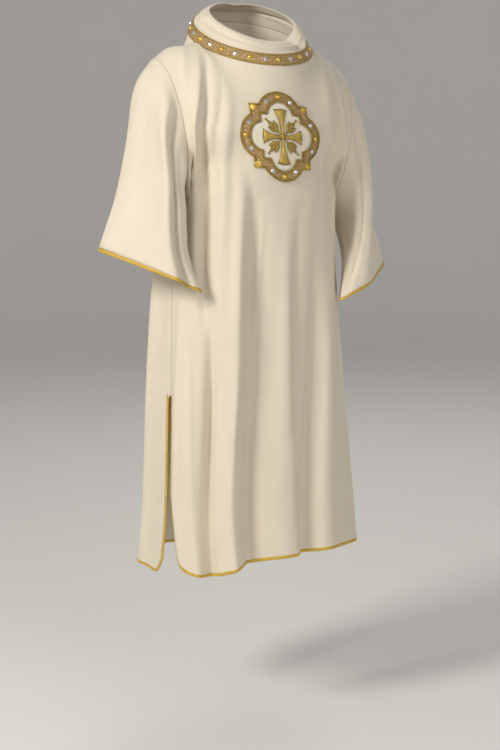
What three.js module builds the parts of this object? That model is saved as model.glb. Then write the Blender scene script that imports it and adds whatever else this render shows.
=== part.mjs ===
// A dalmatic, the wide-sleeved vestment of a deacon, as it hangs when it is worn.
// Millimetres, +Z up. The origin is the middle of the neck opening, level with the points where the
// shoulder seams meet it. The front faces -Y, so the wearer's right side is at -X and the left at +X.
import * as THREE from 'three';

// ---------------------------------------------------------------- driving sizes
const cloth = 2;                   // thickness of the wool cloth, with its turned edges
const seam = 0.2;                  // each piece stops this far short of a seam, so 0.4 between two
const slitTop = 760;               // how far down the side seams are sewn before the slits open
const slitCorner = 42;             // radius of the round lower corners beside the slits
const binding = { width: 8, thick: 3, proud: 0.6, gap: 0.6 };

const neck = { halfWidth: 137, halfDepth: 135, tilt: 0.385, pieces: 26 };
// The band leans in this far over its rise. away is the gap between it and the collar's cloth.
const band = { rise: 23, lean: 12, thick: 2, away: 0.4 };
const stud = { across: 9, top: 3, high: 2.6, sides: 6, clear: 0.35 };

// Where each armhole stands: its highest and lowest points, and how far it bows out to the front and
// the back between them.
const armholes = {
  right: { top: [-228, 12, -36], bottom: [-186, -8, -330], front: 95, back: 95 },
  left: { top: [228, 12, -60], bottom: [184, -8, -344], front: 95, back: 95 },
};

// Round the body from the chest down. drop is the distance below the origin, rightX, rightY, leftX
// and leftY are the two side seams, and frontY and backY the panels on the centre line.
const levels = [
  { drop: 183, rightX: -206, rightY: 0, leftX: 208, leftY: 0, frontY: -160, backY: 150 },
  { drop: 330, rightX: -186, rightY: -8, leftX: 184, leftY: -8, frontY: -158, backY: 142 },
  { drop: 520, rightX: -210, rightY: -30, leftX: 190, leftY: -20, frontY: -162, backY: 150 },
  { drop: 760, rightX: -226, rightY: -54, leftX: 206, leftY: -34, frontY: -170, backY: 166 },
  { drop: 1000, rightX: -232, rightY: -56, leftX: 226, leftY: -40, frontY: -180, backY: 182 },
  { drop: 1150, rightX: -234, rightY: -54, leftX: 238, leftY: -42, frontY: -190, backY: 196 },
];
// How far the slits' edges have parted at the hem, from the line of the side seam.
const slitSpread = {
  right: { frontX: 12, frontY: -52, backX: -8, backY: 8 },
  left: { frontX: -3, frontY: -22, backX: 6, backY: 10 },
};
const slitParts = 0.55;            // how far down the slit its edges begin to part

// The hem's height across each panel, from the wearer's right edge (-1) to the left edge (+1).
const hemRight = -1154;
const hemLeft = -1126;
const frontHem = [
  { across: -1, z: -1154 },
  { across: -0.72, z: -1158 },
  { across: -0.42, z: -1134 },
  { across: 0, z: -1124 },
  { across: 0.4, z: -1120 },
  { across: 1, z: -1126 },
];
const backHem = [
  { across: -1, z: -1176 },
  { across: -0.5, z: -1172 },
  { across: 0, z: -1160 },
  { across: 1, z: -1140 },
];

// The large folds of the two panels, by height. top, middle and foot are where the fold's crest
// stands at its start, half way and at its end, in millimetres round the panel from the centre line
// towards the wearer's left. from and until are how far below the origin it starts and ends, toRight
// and toLeft are its half widths on its two sides, and lift is its height, below zero for a trough.
const frontFolds = [
  { top: -212, middle: -196, foot: -198, from: -20, until: 590, toRight: 30, toLeft: 8, lift: 17 },
  { top: -195, middle: -181, foot: -184, from: -20, until: 650, toRight: 7, toLeft: 14, lift: -12 },
  { top: -126, middle: -138, foot: -142, from: 60, until: 760, toRight: 24, toLeft: 20, lift: 12 },
  { top: -92, middle: -126, foot: -190, from: 170, until: 1500, toRight: 26, toLeft: 20, lift: 27 },
  { top: -160, middle: -192, foot: -250, from: 520, until: 1500, toRight: 16, toLeft: 15, lift: -24 },
  { top: -236, middle: -262, foot: -290, from: 480, until: 1500, toRight: 22, toLeft: 20, lift: 12 },
  { top: -70, middle: -92, foot: -170, from: 190, until: 1500, toRight: 15, toLeft: 34, lift: -18 },
  { top: 5, middle: -5, foot: -60, from: 300, until: 1500, toRight: 40, toLeft: 22, lift: 14 },
  { top: 90, middle: 40, foot: -60, from: 420, until: 1500, toRight: 14, toLeft: 30, lift: -15 },
  { top: 140, middle: 95, foot: 20, from: 360, until: 1500, toRight: 30, toLeft: 44, lift: 13 },
  { top: 240, middle: 158, foot: 190, from: -60, until: 520, toRight: 13, toLeft: 18, lift: -13 },
  { top: 180, middle: 210, foot: 240, from: 330, until: 1500, toRight: 24, toLeft: 24, lift: -11 },
];
const backFolds = [
  { top: -240, middle: -250, foot: -280, from: 60, until: 1500, toRight: 36, toLeft: 32, lift: 14 },
  { top: -180, middle: -186, foot: -200, from: 165, until: 1500, toRight: 30, toLeft: 36, lift: -14 },
  { top: -110, middle: -112, foot: -130, from: 140, until: 1500, toRight: 36, toLeft: 36, lift: 18 },
  { top: -24, middle: -26, foot: -40, from: 195, until: 1500, toRight: 36, toLeft: 42, lift: -14 },
  { top: 60, middle: 66, foot: 80, from: 140, until: 1500, toRight: 39, toLeft: 36, lift: 18 },
  { top: 140, middle: 148, foot: 170, from: 210, until: 1500, toRight: 36, toLeft: 30, lift: -14 },
  { top: 220, middle: 236, foot: 260, from: 60, until: 1500, toRight: 36, toLeft: 30, lift: 18 },
];

// Rings along each sleeve, from the armhole (0) to the cuff (1): the point on its upper, outer fold,
// the point on its lower, inner fold, and how far the front and the back of the ring stand from the
// middle of those two.
const sleeves = {
  right: [
    { share: 0, outX: -228, outY: 12, outZ: -36, inX: -186, inY: -8, inZ: -330,
      frontX: 0, frontY: -95, frontZ: 0, backX: 0, backY: 95, backZ: 0 },
    { share: 0.22, outX: -265, outY: 19, outZ: -88, inX: -208, inY: -30, inZ: -368,
      frontX: -3, frontY: -101, frontZ: 6, backX: 0, backY: 84, backZ: -10 },
    { share: 0.46, outX: -286, outY: 22, outZ: -190, inX: -220, inY: -62, inZ: -414,
      frontX: 2, frontY: -100, frontZ: 6, backX: 4, backY: 68, backZ: -16 },
    { share: 0.72, outX: -316, outY: 17, outZ: -312, inX: -218, inY: -98, inZ: -466,
      frontX: -4, frontY: -80, frontZ: 6, backX: 4, backY: 56, backZ: -12 },
    { share: 1, outX: -367, outY: 10, outZ: -449, inX: -190, inY: -140, inZ: -533,
      frontX: -16, frontY: -56, frontZ: 4, backX: 8, backY: 52, backZ: 4 },
  ],
  left: [
    { share: 0, outX: 228, outY: 12, outZ: -60, inX: 184, inY: -8, inZ: -344,
      frontX: 0, frontY: -95, frontZ: 0, backX: 0, backY: 95, backZ: 0 },
    { share: 0.22, outX: 247, outY: 18, outZ: -112, inX: 204, inY: -28, inZ: -388,
      frontX: 6, frontY: -90, frontZ: 6, backX: 2, backY: 84, backZ: -10 },
    { share: 0.46, outX: 276, outY: 20, outZ: -222, inX: 202, inY: -66, inZ: -436,
      frontX: 8, frontY: -76, frontZ: 6, backX: 8, backY: 70, backZ: -12 },
    { share: 0.72, outX: 304, outY: 22, outZ: -350, inX: 180, inY: -112, inZ: -494,
      frontX: 10, frontY: -56, frontZ: 8, backX: 18, backY: 62, backZ: -8 },
    { share: 1, outX: 362, outY: 24, outZ: -506, inX: 146, inY: -150, inZ: -566,
      frontX: 16, frontY: -40, frontZ: 12, backX: 24, backY: 60, backZ: 0 },
  ],
};

// The large folds of each sleeve. around is in quarters of a turn: 0 the outer fold, 1 the front,
// 2 the inner fold, 3 the back.
const sleeveFolds = {
  right: [
    { top: 0.2, middle: 1.1, foot: 1.6, from: -0.2, until: 1.3, toRight: 0.3, toLeft: 0.13, lift: 14 },
    { top: 0.46, middle: 1.34, foot: 1.84, from: -0.2, until: 1.2, toRight: 0.13, toLeft: 0.2, lift: -12 },
    { top: 3.4, middle: 3, foot: 2.7, from: 0.1, until: 1.3, toRight: 0.3, toLeft: 0.3, lift: 8 },
  ],
  left: [
    { top: 0.4, middle: 1, foot: 1.6, from: -0.1, until: 1.3, toRight: 0.3, toLeft: 0.2, lift: 10 },
    { top: 0.7, middle: 1.36, foot: 1.9, from: -0.1, until: 1.1, toRight: 0.16, toLeft: 0.22, lift: -9 },
    { top: 3.4, middle: 3, foot: 2.7, from: 0.1, until: 1.3, toRight: 0.3, toLeft: 0.3, lift: 8 },
  ],
};

// The collar's rim: turn is the angle round the neck from the front, towards the wearer's left, reach
// is the rim's distance from the middle, and rise is how high it stands above the band.
const rim = [
  { turn: -180, reach: 96, rise: 10 },
  { turn: -130, reach: 100, rise: 22 },
  { turn: -90, reach: 104, rise: 34 },
  { turn: -50, reach: 110, rise: 34 },
  { turn: -10, reach: 114, rise: 27 },
  { turn: 25, reach: 112, rise: 22 },
  { turn: 48, reach: 92, rise: 10 },
  { turn: 66, reach: 108, rise: 26 },
  { turn: 110, reach: 106, rise: 26 },
  { turn: 180, reach: 96, rise: 10 },
];

// The medallion: a barbed quatrefoil, four round lobes on a square, lying on the chest. lobe is a
// lobe's radius, lobeAt its distance from the middle, and square half the square's side. The cloth
// hangs a little askew there: lean is the drift to the right going up, dip the drop going left.
const medal = {
  x: -6, drop: 204, lean: 0.078, dip: 0.064, clear: 1.2,
  studRing: 41, sideStud: 43, cornerStud: 61,
  outer: { lobe: 52, lobeAt: 44, square: 68 },
  inner: { lobe: 30, lobeAt: 44, square: 47 },
  frame: 2.2, field: 1, emblem: 1.6,
};
// The emblem on its field: a flared cross with a leaf in each of its corners.
const emblemOutline = [
  { turn: 0, reach: 51 }, { turn: 16, reach: 54 }, { turn: 27, reach: 15 },
  { turn: 36, reach: 26 }, { turn: 45, reach: 43 }, { turn: 54, reach: 26 },
  { turn: 63, reach: 15 }, { turn: 74, reach: 54 },
];

// ---------------------------------------------------------------- small helpers
const V = (x, y, z) => new THREE.Vector3(x, y, z);
const mix = (a, b, share) => a + (b - a) * share;
const clamp = (x, low, high) => Math.min(Math.max(x, low), high);
const ease = (x, low, high) => THREE.MathUtils.smoothstep(x, low, high);

const steps = (from, to, count) =>
  Array.from({ length: count + 1 }, (_, k) => mix(from, to, k / count));

// Reads a table at a place between its rows, with a smooth curve through each column.
function readTable(table, key, place) {
  const last = table.length - 1;
  const x = clamp(place, table[0][key], table[last][key]);
  const low = Math.max(table.findLastIndex((row, i) => i < last && row[key] <= x), 0);
  const slope = (i, name) => {
    const before = table[Math.max(i - 1, 0)];
    const after = table[Math.min(i + 1, last)];
    return (after[name] - before[name]) / (after[key] - before[key]);
  };
  const [a, b] = [table[low], table[low + 1]];
  const step = b[key] - a[key];
  const t = (x - a[key]) / step;
  const row = {};
  for (const name of Object.keys(a)) {
    const bend = slope(low, name) * step * (t ** 3 - 2 * t ** 2 + t)
      + slope(low + 1, name) * step * (t ** 3 - t ** 2);
    row[name] = mix(a[name], b[name], 3 * t ** 2 - 2 * t ** 3) + bend;
  }
  return row;
}

// The height of all the folds in a table at one place on a piece. Each grows over the first third of
// its length and dies away over the last quarter.
function foldHeight(folds, across, down) {
  let height = 0;
  for (const fold of folds) {
    const t = (down - fold.from) / (fold.until - fold.from);
    if (t <= 0 || t >= 1) continue;
    const crest = fold.top * (1 - t) * (1 - 2 * t) + fold.middle * 4 * t * (1 - t)
      + fold.foot * t * (2 * t - 1);
    const side = across - crest;
    const half = (side < 0 ? fold.toRight : fold.toLeft) * mix(0.7, 1, t);
    const strength = ease(t, 0, 0.33) * (1 - ease(t, 0.75, 1));
    height += fold.lift * strength * Math.exp(-((side / half) ** 2));
  }
  return height;
}

// ---------------------------------------------------------------- the body panels
const neckShare = 0.667;           // of the panel's width, how much starts at the neck
const boxy = { front: 2.4, back: 3.2 };      // 2 would make the body's section an ellipse
const bodyLength = 815;            // from the underarm to the hem
const underarm = 330;              // how far below the origin the side seams start
const hemDrop = 1150;
const slitDown = 2 + (slitTop - underarm) / bodyLength;

function neckPoint(turn) {
  const y = -neck.halfDepth * Math.cos(turn);
  return V(neck.halfWidth * Math.sin(turn), y, neck.tilt * y);
}

function armholePoint(side, facing, down) {
  const hole = armholes[side];
  const [top, bottom] = [V(...hole.top), V(...hole.bottom)];
  const turn = down * Math.PI / 2;
  const point = top.clone().add(bottom).multiplyScalar(0.5);
  point.addScaledVector(top.sub(bottom), Math.cos(turn) / 2);
  point.y += Math.sin(turn) * (facing < 0 ? -hole.front : hole.back);
  return point;
}

// The upper edge of a panel: the shoulder seam, the neckline, and the other shoulder seam.
const shoulderRise = 20;           // how far the wearer's right shoulder stands over its straight seam
function panelTop(facing, across) {
  const share = Math.abs(across) / neckShare;
  const side = Math.sign(across);
  if (share <= 1) {
    const turn = across / neckShare * Math.PI / 2;
    return neckPoint(facing < 0 ? turn : Math.PI - turn);
  }
  const shoulder = V(...armholes[side < 0 ? 'right' : 'left'].top);
  const out = (Math.abs(across) - neckShare) / (1 - neckShare);
  const point = neckPoint(side * Math.PI / 2).lerp(shoulder, out);
  point.z += (side < 0 ? shoulderRise : 0) * Math.sin(out * Math.PI) ** 2;
  return point;
}

// The share of a level's width at which a point stands, for cloth that is spaced evenly along the
// level's curve, and half the curve's length.
const curveSteps = steps(-1, 1, 80).map((q) => Math.sin(q * Math.PI / 2));
function evenBow(across, edgeToEdge, curve) {
  const lengths = [0];
  for (let k = 1; k < curveSteps.length; k += 1) {
    const [a, b] = [curveSteps[k - 1], curveSteps[k]];
    lengths.push(lengths[k - 1] + Math.hypot((b - a) * edgeToEdge / 2, curve(b) - curve(a)));
  }
  const wanted = (across + 1) / 2 * lengths.at(-1);
  const k = clamp(lengths.findIndex((length) => length >= wanted), 1, curveSteps.length - 1);
  const part = (wanted - lengths[k - 1]) / (lengths[k] - lengths[k - 1]);
  return [mix(curveSteps[k - 1], curveSteps[k], part), lengths.at(-1) / 2];
}

// One level across a panel between its two side edges, from the chest down: a point of it and half
// its length round.
function panelRow(facing, across, down) {
  const face = facing < 0 ? 'front' : 'back';
  const ownHem = readTable(facing < 0 ? frontHem : backHem, 'across', across).z;
  const hem = mix(mix(hemRight, hemLeft, (across + 1) / 2), ownHem, ease(down, slitDown, 3));
  const low = Math.max(down - 2, 0);
  const round = ease(down, 1, 2);
  const right = armholePoint('right', facing, Math.min(down, 2));
  const left = armholePoint('left', facing, Math.min(down, 2));
  const arcZ = mix(right.z, left.z, (across + 1) / 2);
  const holeZ = (end) => mix(armholes.right[end][2], armholes.left[end][2], (across + 1) / 2);
  const evenZ = mix((holeZ('top') + holeZ('bottom')) / 2, holeZ('bottom'), clamp(down - 1, 0, 1));
  const armZ = mix(evenZ, arcZ, ease(Math.abs(across), 0.6, 1));
  const row = readTable(levels, 'drop', mix(-armZ, hemDrop, low));
  if (low > 0) {
    const parting = mix(slitDown, 3, slitParts);
    const open = (Math.max(down - parting, 0) / (3 - parting)) ** 1.5;
    right.x = row.rightX + slitSpread.right[`${face}X`] * open;
    right.y = row.rightY + slitSpread.right[`${face}Y`] * open;
    left.x = row.leftX + slitSpread.left[`${face}X`] * open;
    left.y = row.leftY + slitSpread.left[`${face}Y`] * open;
  }
  const power = boxy[face];
  const localised = ease(down, 1, 1.7);
  const curve = (bow) => {
    const sideY = mix(row.rightY, row.leftY, (bow + 1) / 2);
    const near = mix(1, ease(Math.abs(bow), 0.9, 1), localised * (low > 0 ? 0 : 1));
    const edgeY = mix(sideY, mix(right.y, left.y, (bow + 1) / 2), near);
    const rise = Math.max(1 - Math.abs(bow) ** power, 0) ** mix(1, 1 / power, round);
    return edgeY + (row[`${face}Y`] - edgeY) * rise;
  };
  const [bow, half] = evenBow(across, left.x - right.x, curve);
  const point = V(mix(right.x, left.x, (bow + 1) / 2), curve(bow), mix(armZ, hem, low));
  return { point, half };
}

const panelLevel = (facing, across, down) => panelRow(facing, across, down).point;

// How far round the panel a place is from the centre line, towards the wearer's left.
const topHalf = 315;
function roundTo(facing, across, down) {
  const { half } = panelRow(facing, across, Math.max(down, 1));
  return across * mix(topHalf, half, Math.min(down, 1));
}

// The panel above the chest, bending over the shoulder like a quarter of an ellipse. Towards the
// centre line it runs straighter, and round says how much of the bend is left there.
const yoke = { round: 0.25, from: 0.2, until: 0.76 };
function panelYoke(facing, across, down) {
  const start = panelTop(facing, across);
  const chest = panelLevel(facing, across, 1);
  const turn = down * Math.PI / 2;
  const over = mix(yoke.round, 1, ease(Math.abs(across), yoke.from, yoke.until));
  return V(
    mix(start.x, chest.x, down),
    mix(start.y, chest.y, mix(down, Math.sin(turn), over)),
    mix(start.z, chest.z, mix(down, 1 - Math.cos(turn), over)),
  );
}

// A point of a panel with no folds: across -1 to +1, down 0 at the top edge, 1 at the chest, 2 at the
// underarm and 3 at the hem. Above the chest it is drawn to the armhole at its side edges.
function panelBase(facing, across, down) {
  if (down >= 1) return panelLevel(facing, across, down);
  const side = across < 0 ? 'right' : 'left';
  const edge = armholePoint(side, facing, down);
  const miss = edge.sub(panelYoke(facing, Math.sign(across), down));
  const near = ease(Math.abs(across), 0.5, 1);
  return panelYoke(facing, across, down).addScaledVector(miss, near);
}

// Where the folds die away: beside the seams, down to the slits, below the shoulder seams, and on
// the chest under the medallion.
const flat = {
  side: 0.88, slitFrom: 2.45, slitUntil: 2.6, shoulder: 0.22, chestWide: 0.5, chestHigh: 135,
};
function panelPoint(facing, across, down) {
  const base = (a, b) => panelBase(facing, a, b);
  const step = 0.01;
  const a = clamp(across, -1 + step, 1 - step);
  const b = clamp(down, step, 3 - step);
  const over = base(a + step, b).sub(base(a - step, b));
  const along = base(a, b + step).sub(base(a, b - step));
  const out = over.cross(along).normalize().multiplyScalar(facing);
  const point = base(across, down);
  const beside = ease(Math.abs(across), flat.side, 1);
  const sideHold = 1 - beside * (1 - ease(down, flat.slitFrom, flat.slitUntil));
  const seamHold = sideHold * ease(down, 0, flat.shoulder);
  const fromMedal = Math.hypot(across / flat.chestWide, (point.z + medal.drop) / flat.chestHigh);
  const chest = ease(fromMedal, 0.8, 1.2);
  const hold = facing < 0 ? seamHold * chest : seamHold;
  const folds = facing < 0 ? frontFolds : backFolds;
  return point.addScaledVector(out, foldHeight(folds, roundTo(facing, across, down), -point.z) * hold);
}

// The outward direction of a panel's folded surface.
function panelWay(facing, across, down) {
  const step = 0.004;
  const a = clamp(across, -1 + step, 1 - step);
  const b = clamp(down, step, 3 - step);
  const over = panelPoint(facing, a + step, b).sub(panelPoint(facing, a - step, b));
  const along = panelPoint(facing, a, b + step).sub(panelPoint(facing, a, b - step));
  return over.cross(along).normalize().multiplyScalar(facing);
}

// ---------------------------------------------------------------- the sleeves
function sleeveBase(side, around, share) {
  const row = readTable(sleeves[side], 'share', share);
  const out = V(row.outX, row.outY, row.outZ);
  const inner = V(row.inX, row.inY, row.inZ);
  const turn = around * Math.PI / 2;
  const bow = Math.sin(turn) > 0
    ? V(row.frontX, row.frontY, row.frontZ) : V(row.backX, row.backY, row.backZ);
  const lens = Math.abs(Math.sin(turn)) * (1 - 0.25 * share * Math.max(Math.cos(turn), 0));
  return out.clone().add(inner).multiplyScalar(0.5)
    .addScaledVector(out.sub(inner), Math.cos(turn) / 2)
    .addScaledVector(bow, lens);
}

// A point of a sleeve: around in quarters of a turn, share 0 at the armhole and 1 at the cuff.
const sleeveHold = 0.15;           // how far down a sleeve its folds reach their full height
function sleevePoint(side, around, share) {
  const step = 0.01;
  const base = (a, b) => sleeveBase(side, a, b);
  const b = clamp(share, step, 1 - step);
  const over = base(around + step, b).sub(base(around - step, b));
  const along = base(around, b + step).sub(base(around, b - step));
  const out = over.cross(along).normalize();
  if (side === 'right') out.negate();
  const lift = [-4, 0, 4].reduce((sum, lap) =>
    sum + foldHeight(sleeveFolds[side], around + lap, share), 0);
  return base(around, share).addScaledVector(out, lift * ease(share, 0, sleeveHold));
}

// ---------------------------------------------------------------- the collar
const rimDepth = 0.96;             // the rim's reach to the front and back, as a share of its table
const rimBulge = 0.12;             // how far the cloth bows out between band and rim, for its rise
// A point of the collar: turn round the neck from the front, and level 0 at the neckline, 1 at the
// top of the band and 2 at the rim.
function collarPoint(turn, level) {
  const foot = neckPoint(turn);
  const top = foot.clone().multiplyScalar((neck.halfWidth - band.lean) / neck.halfWidth);
  top.z = foot.z + band.rise;
  if (level <= 1) return foot.lerp(top, level);
  const degrees = THREE.MathUtils.radToDeg(turn);
  const row = readTable(rim, 'turn', ((degrees + 180) % 360 + 360) % 360 - 180);
  const edge = V(Math.sin(turn) * row.reach, -Math.cos(turn) * row.reach * rimDepth, top.z + row.rise);
  const share = level - 1;
  const lean = rimBulge * row.rise * Math.sin(share * Math.PI);
  const point = top.lerp(edge, share);
  point.x += Math.sin(turn) * lean;
  point.y -= Math.cos(turn) * lean;
  return point;
}

// ---------------------------------------------------------------- solids from grids
// Every place where pieces meet is one point in all of them, and their walls share one direction
// there, so that the pieces end face to face.
const shared = new Map();
const keyOf = (point) => point.toArray().map((x) => Math.round(x * 20)).join();

function gridOf(columns, rows, point) {
  return rows.map((row) => columns.map((column) => point(column, row)));
}

// The outward direction at each point of a grid, in rows of columns.
function directions(grid, closed, outward) {
  const [tall, wide] = [grid.length, grid[0].length];
  return grid.map((row, j) => row.map((point, i) => {
    const right = closed ? row[(i + 1) % wide] : row[Math.min(i + 1, wide - 1)];
    const left = closed ? row[(i + wide - 1) % wide] : row[Math.max(i - 1, 0)];
    const below = grid[Math.min(j + 1, tall - 1)][i];
    const above = grid[Math.max(j - 1, 0)][i];
    const over = right.clone().sub(left);
    return over.cross(below.clone().sub(above)).normalize().multiplyScalar(outward);
  }));
}

function share(grid, ways) {
  grid.forEach((row, j) => row.forEach((point, i) => {
    const key = keyOf(point);
    if (!shared.has(key)) shared.set(key, V(0, 0, 0));
    shared.get(key).add(ways[j][i]);
  }));
}

// The outer and inner faces of a sewn piece. cuts says how far it stops short of its top and side
// edges, square to them and along its own surface.
function sewn(piece) {
  const { grid, closed, thick, cuts } = piece;
  const [tall, wide] = [grid.length, grid[0].length];
  const column = (i) => (closed ? (i + wide) % wide : clamp(i, 0, wide - 1));
  const at = (j, i) => grid[clamp(j, 0, tall - 1)][column(i)];
  const square = (way, along, inside) => {
    const pull = along.cross(way).normalize();
    return pull.dot(inside) < 0 ? pull.negate() : pull;
  };
  const outer = grid.map((row, j) => row.map((point, i) => {
    const way = shared.get(keyOf(point)).clone().normalize();
    const moved = point.clone();
    if (j === 0 && cuts.top) {
      const inside = at(1, i - 1).clone().add(at(1, i)).add(at(1, i + 1)).addScaledVector(point, -3);
      moved.addScaledVector(square(way, at(0, i + 1).clone().sub(at(0, i - 1)), inside), cuts.top);
    }
    const edge = closed ? 0 : (i === 0 ? 1 : (i === wide - 1 ? -1 : 0));
    if (edge && cuts.side(j)) {
      const inside = at(j - 1, i + edge).clone().add(at(j, i + edge)).add(at(j + 1, i + edge))
        .addScaledVector(point, -3);
      const along = at(j + 1, i).clone().sub(at(j - 1, i));
      moved.addScaledVector(square(way, along, inside), cuts.side(j));
    }
    return moved;
  }));
  const inner = outer.map((row, j) => row.map((point, i) => {
    const way = shared.get(keyOf(grid[j][i])).clone().normalize();
    return point.clone().addScaledVector(way, -thick);
  }));
  return [outer, inner];
}

// One closed body between two grids of points.
function shell(outer, inner, closed) {
  const [tall, wide] = [outer.length, outer[0].length];
  const points = [...outer.flat(), ...inner.flat()];
  const at = (face, j, i) => face * tall * wide + j * wide + (i % wide);
  const index = [];
  const quad = (a, b, c, d) => index.push(a, b, c, a, c, d);
  const across = closed ? wide : wide - 1;
  for (let j = 0; j < tall - 1; j += 1) {
    for (let i = 0; i < across; i += 1) {
      quad(at(0, j, i), at(0, j + 1, i), at(0, j + 1, i + 1), at(0, j, i + 1));
      quad(at(1, j, i), at(1, j, i + 1), at(1, j + 1, i + 1), at(1, j + 1, i));
    }
  }
  for (let i = 0; i < across; i += 1) {
    quad(at(0, 0, i), at(0, 0, i + 1), at(1, 0, i + 1), at(1, 0, i));
    quad(at(0, tall - 1, i), at(1, tall - 1, i), at(1, tall - 1, i + 1), at(0, tall - 1, i + 1));
  }
  for (let j = 0; j < tall - 1 && !closed; j += 1) {
    quad(at(0, j, 0), at(1, j, 0), at(1, j + 1, 0), at(0, j + 1, 0));
    quad(at(0, j, wide - 1), at(0, j + 1, wide - 1), at(1, j + 1, wide - 1), at(1, j, wide - 1));
  }
  return facesOut(points, index);
}

// A geometry from points and triangles, turned so that its faces point out.
function facesOut(points, index) {
  let volume = 0;
  for (let k = 0; k < index.length; k += 3) {
    const [a, b, c] = [points[index[k]], points[index[k + 1]], points[index[k + 2]]];
    volume += a.dot(b.clone().cross(c));
  }
  const order = volume < 0 ? [...index].reverse() : index;
  const geometry = new THREE.BufferGeometry();
  geometry.setAttribute('position',
    new THREE.Float32BufferAttribute(points.flatMap((p) => p.toArray()), 3));
  geometry.setIndex(order);
  geometry.computeVertexNormals();
  return geometry;
}

// ---------------------------------------------------------------- the object
const finishes = {
  wool: new THREE.MeshStandardMaterial({ color: 0xeee4d0, roughness: 0.9, metalness: 0 }),
  satin: new THREE.MeshStandardMaterial({ color: 0xe0b62f, roughness: 0.45, metalness: 0 }),
  brocade: new THREE.MeshStandardMaterial({ color: 0xb98f4e, roughness: 0.55, metalness: 0.3 }),
  weave: new THREE.MeshStandardMaterial({ color: 0xefe3c8, roughness: 0.85, metalness: 0 }),
  goldThread: new THREE.MeshStandardMaterial({ color: 0xa9822a, roughness: 0.5, metalness: 0.4 }),
  goldStud: new THREE.MeshStandardMaterial({ color: 0xd9a92c, roughness: 0.25, metalness: 1 }),
  silverStud: new THREE.MeshStandardMaterial({ color: 0xd0d2d6, roughness: 0.2, metalness: 1 }),
};
const garment = new THREE.Group();

function add(name, geometry, material) {
  const mesh = new THREE.Mesh(geometry, material);
  mesh.name = name;
  garment.add(mesh);
  return mesh;
}

// Columns across a panel: even steps over each shoulder, and one step for each stud of the neck.
const shoulderColumns = 6;
const neckColumns = neck.pieces / 2;
const columns = [
  ...steps(-1, -neckShare, shoulderColumns).slice(0, -1),
  ...steps(-neckShare, neckShare, neckColumns),
  ...steps(neckShare, 1, shoulderColumns).slice(1),
];

// Rows down a panel. The armhole rows are the sleeve's own columns, and the last rows are those of
// the round corners.
const armRows = 10;
const hemAway = (mm) => 3 - mm / bodyLength;
const stripWidth = binding.width + binding.gap;
const cornerTurns = steps(0, Math.PI / 2, 4);
const slitRows = steps(slitDown + 3 / bodyLength, hemAway(slitCorner), 4);
const rows = [
  ...steps(0, 2, armRows),
  ...steps(2, slitDown, 3).slice(1),
  ...slitRows,
  ...cornerTurns.slice(1).map((turn) =>
    hemAway(slitCorner - (slitCorner - stripWidth) * Math.sin(turn))),
];

// How far a panel's edge stands in from its full width beside the slit, for a strip of this width
// left free along it.
const halfRound = 300;
function edgeInset(down, strip) {
  if (down <= slitDown) return 0;
  const above = (3 - down) * bodyLength;
  if (above >= slitCorner) return strip / halfRound;
  const radius = slitCorner - strip;
  return (slitCorner - Math.sqrt(Math.max(radius ** 2 - (slitCorner - above) ** 2, 0))) / halfRound;
}

// Only the outer columns are drawn in, so that the inner ones run on straight past the slit's top.
const drawnIn = (across, inset) => across * (1 - inset * ease(Math.abs(across), 0.5, 1));
const panelPlace = (across, down) => [drawnIn(across, edgeInset(down, stripWidth)), down];
const panelPiece = (facing) => ({
  grid: gridOf(columns, rows, (across, down) => panelPoint(facing, ...panelPlace(across, down))),
  ways: gridOf(columns, rows, (across, down) => panelWay(facing, ...panelPlace(across, down))),
  cuts: { top: seam, side: (j) => (rows[j] <= slitDown + 1e-6 ? seam : 0) },
});

const sleeveLength = 360;
const sleeveRows = steps(0, 1, 8);
sleeveRows[8] = 1 - stripWidth / sleeveLength;
const sleeveColumns = steps(0, 4, 2 * armRows).slice(0, -1);
const collarTurns = Array.from({ length: neck.pieces }, (_, k) =>
  (k + 0.5) / neck.pieces * 2 * Math.PI - Math.PI);
const collarLevels = [0, 1, 1.35, 1.7, 2];

const pieces = {
  front_panel: panelPiece(-1),
  back_panel: panelPiece(1),
  sleeve_right: {
    grid: gridOf(sleeveColumns, sleeveRows, (a, s) => sleevePoint('right', a, s)),
    closed: true, outward: -1, cuts: { top: seam },
  },
  sleeve_left: {
    grid: gridOf(sleeveColumns, sleeveRows, (a, s) => sleevePoint('left', a, s)),
    closed: true, outward: 1, cuts: { top: seam },
  },
  collar: {
    grid: gridOf(collarTurns, collarLevels, collarPoint),
    closed: true, outward: 1, thick: 3, cuts: { top: 3 * seam },
  },
};
for (const piece of Object.values(pieces)) {
  piece.thick ??= cloth;
  piece.ways ??= directions(piece.grid, piece.closed, piece.outward);
  share(piece.grid, piece.ways);
}
for (const [name, piece] of Object.entries(pieces)) {
  const [outer, inner] = sewn(piece);
  Object.assign(piece, { outer, inner });
  add(name, shell(outer, inner, piece.closed), finishes.wool);
}

// ---- bindings: a narrow rolled strip past each free edge of the cloth
function strip(name, innerEdge, outerEdge, innerWays, outerWays, closed) {
  const lift = (points, ways, amount) =>
    points.map((p, i) => p.clone().addScaledVector(ways[i], amount));
  const faces = [binding.proud, binding.proud - binding.thick].map((amount) =>
    [lift(innerEdge, innerWays, amount), lift(outerEdge, outerWays, amount)]);
  add(name, shell(faces[0], faces[1], closed), finishes.satin);
}

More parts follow.
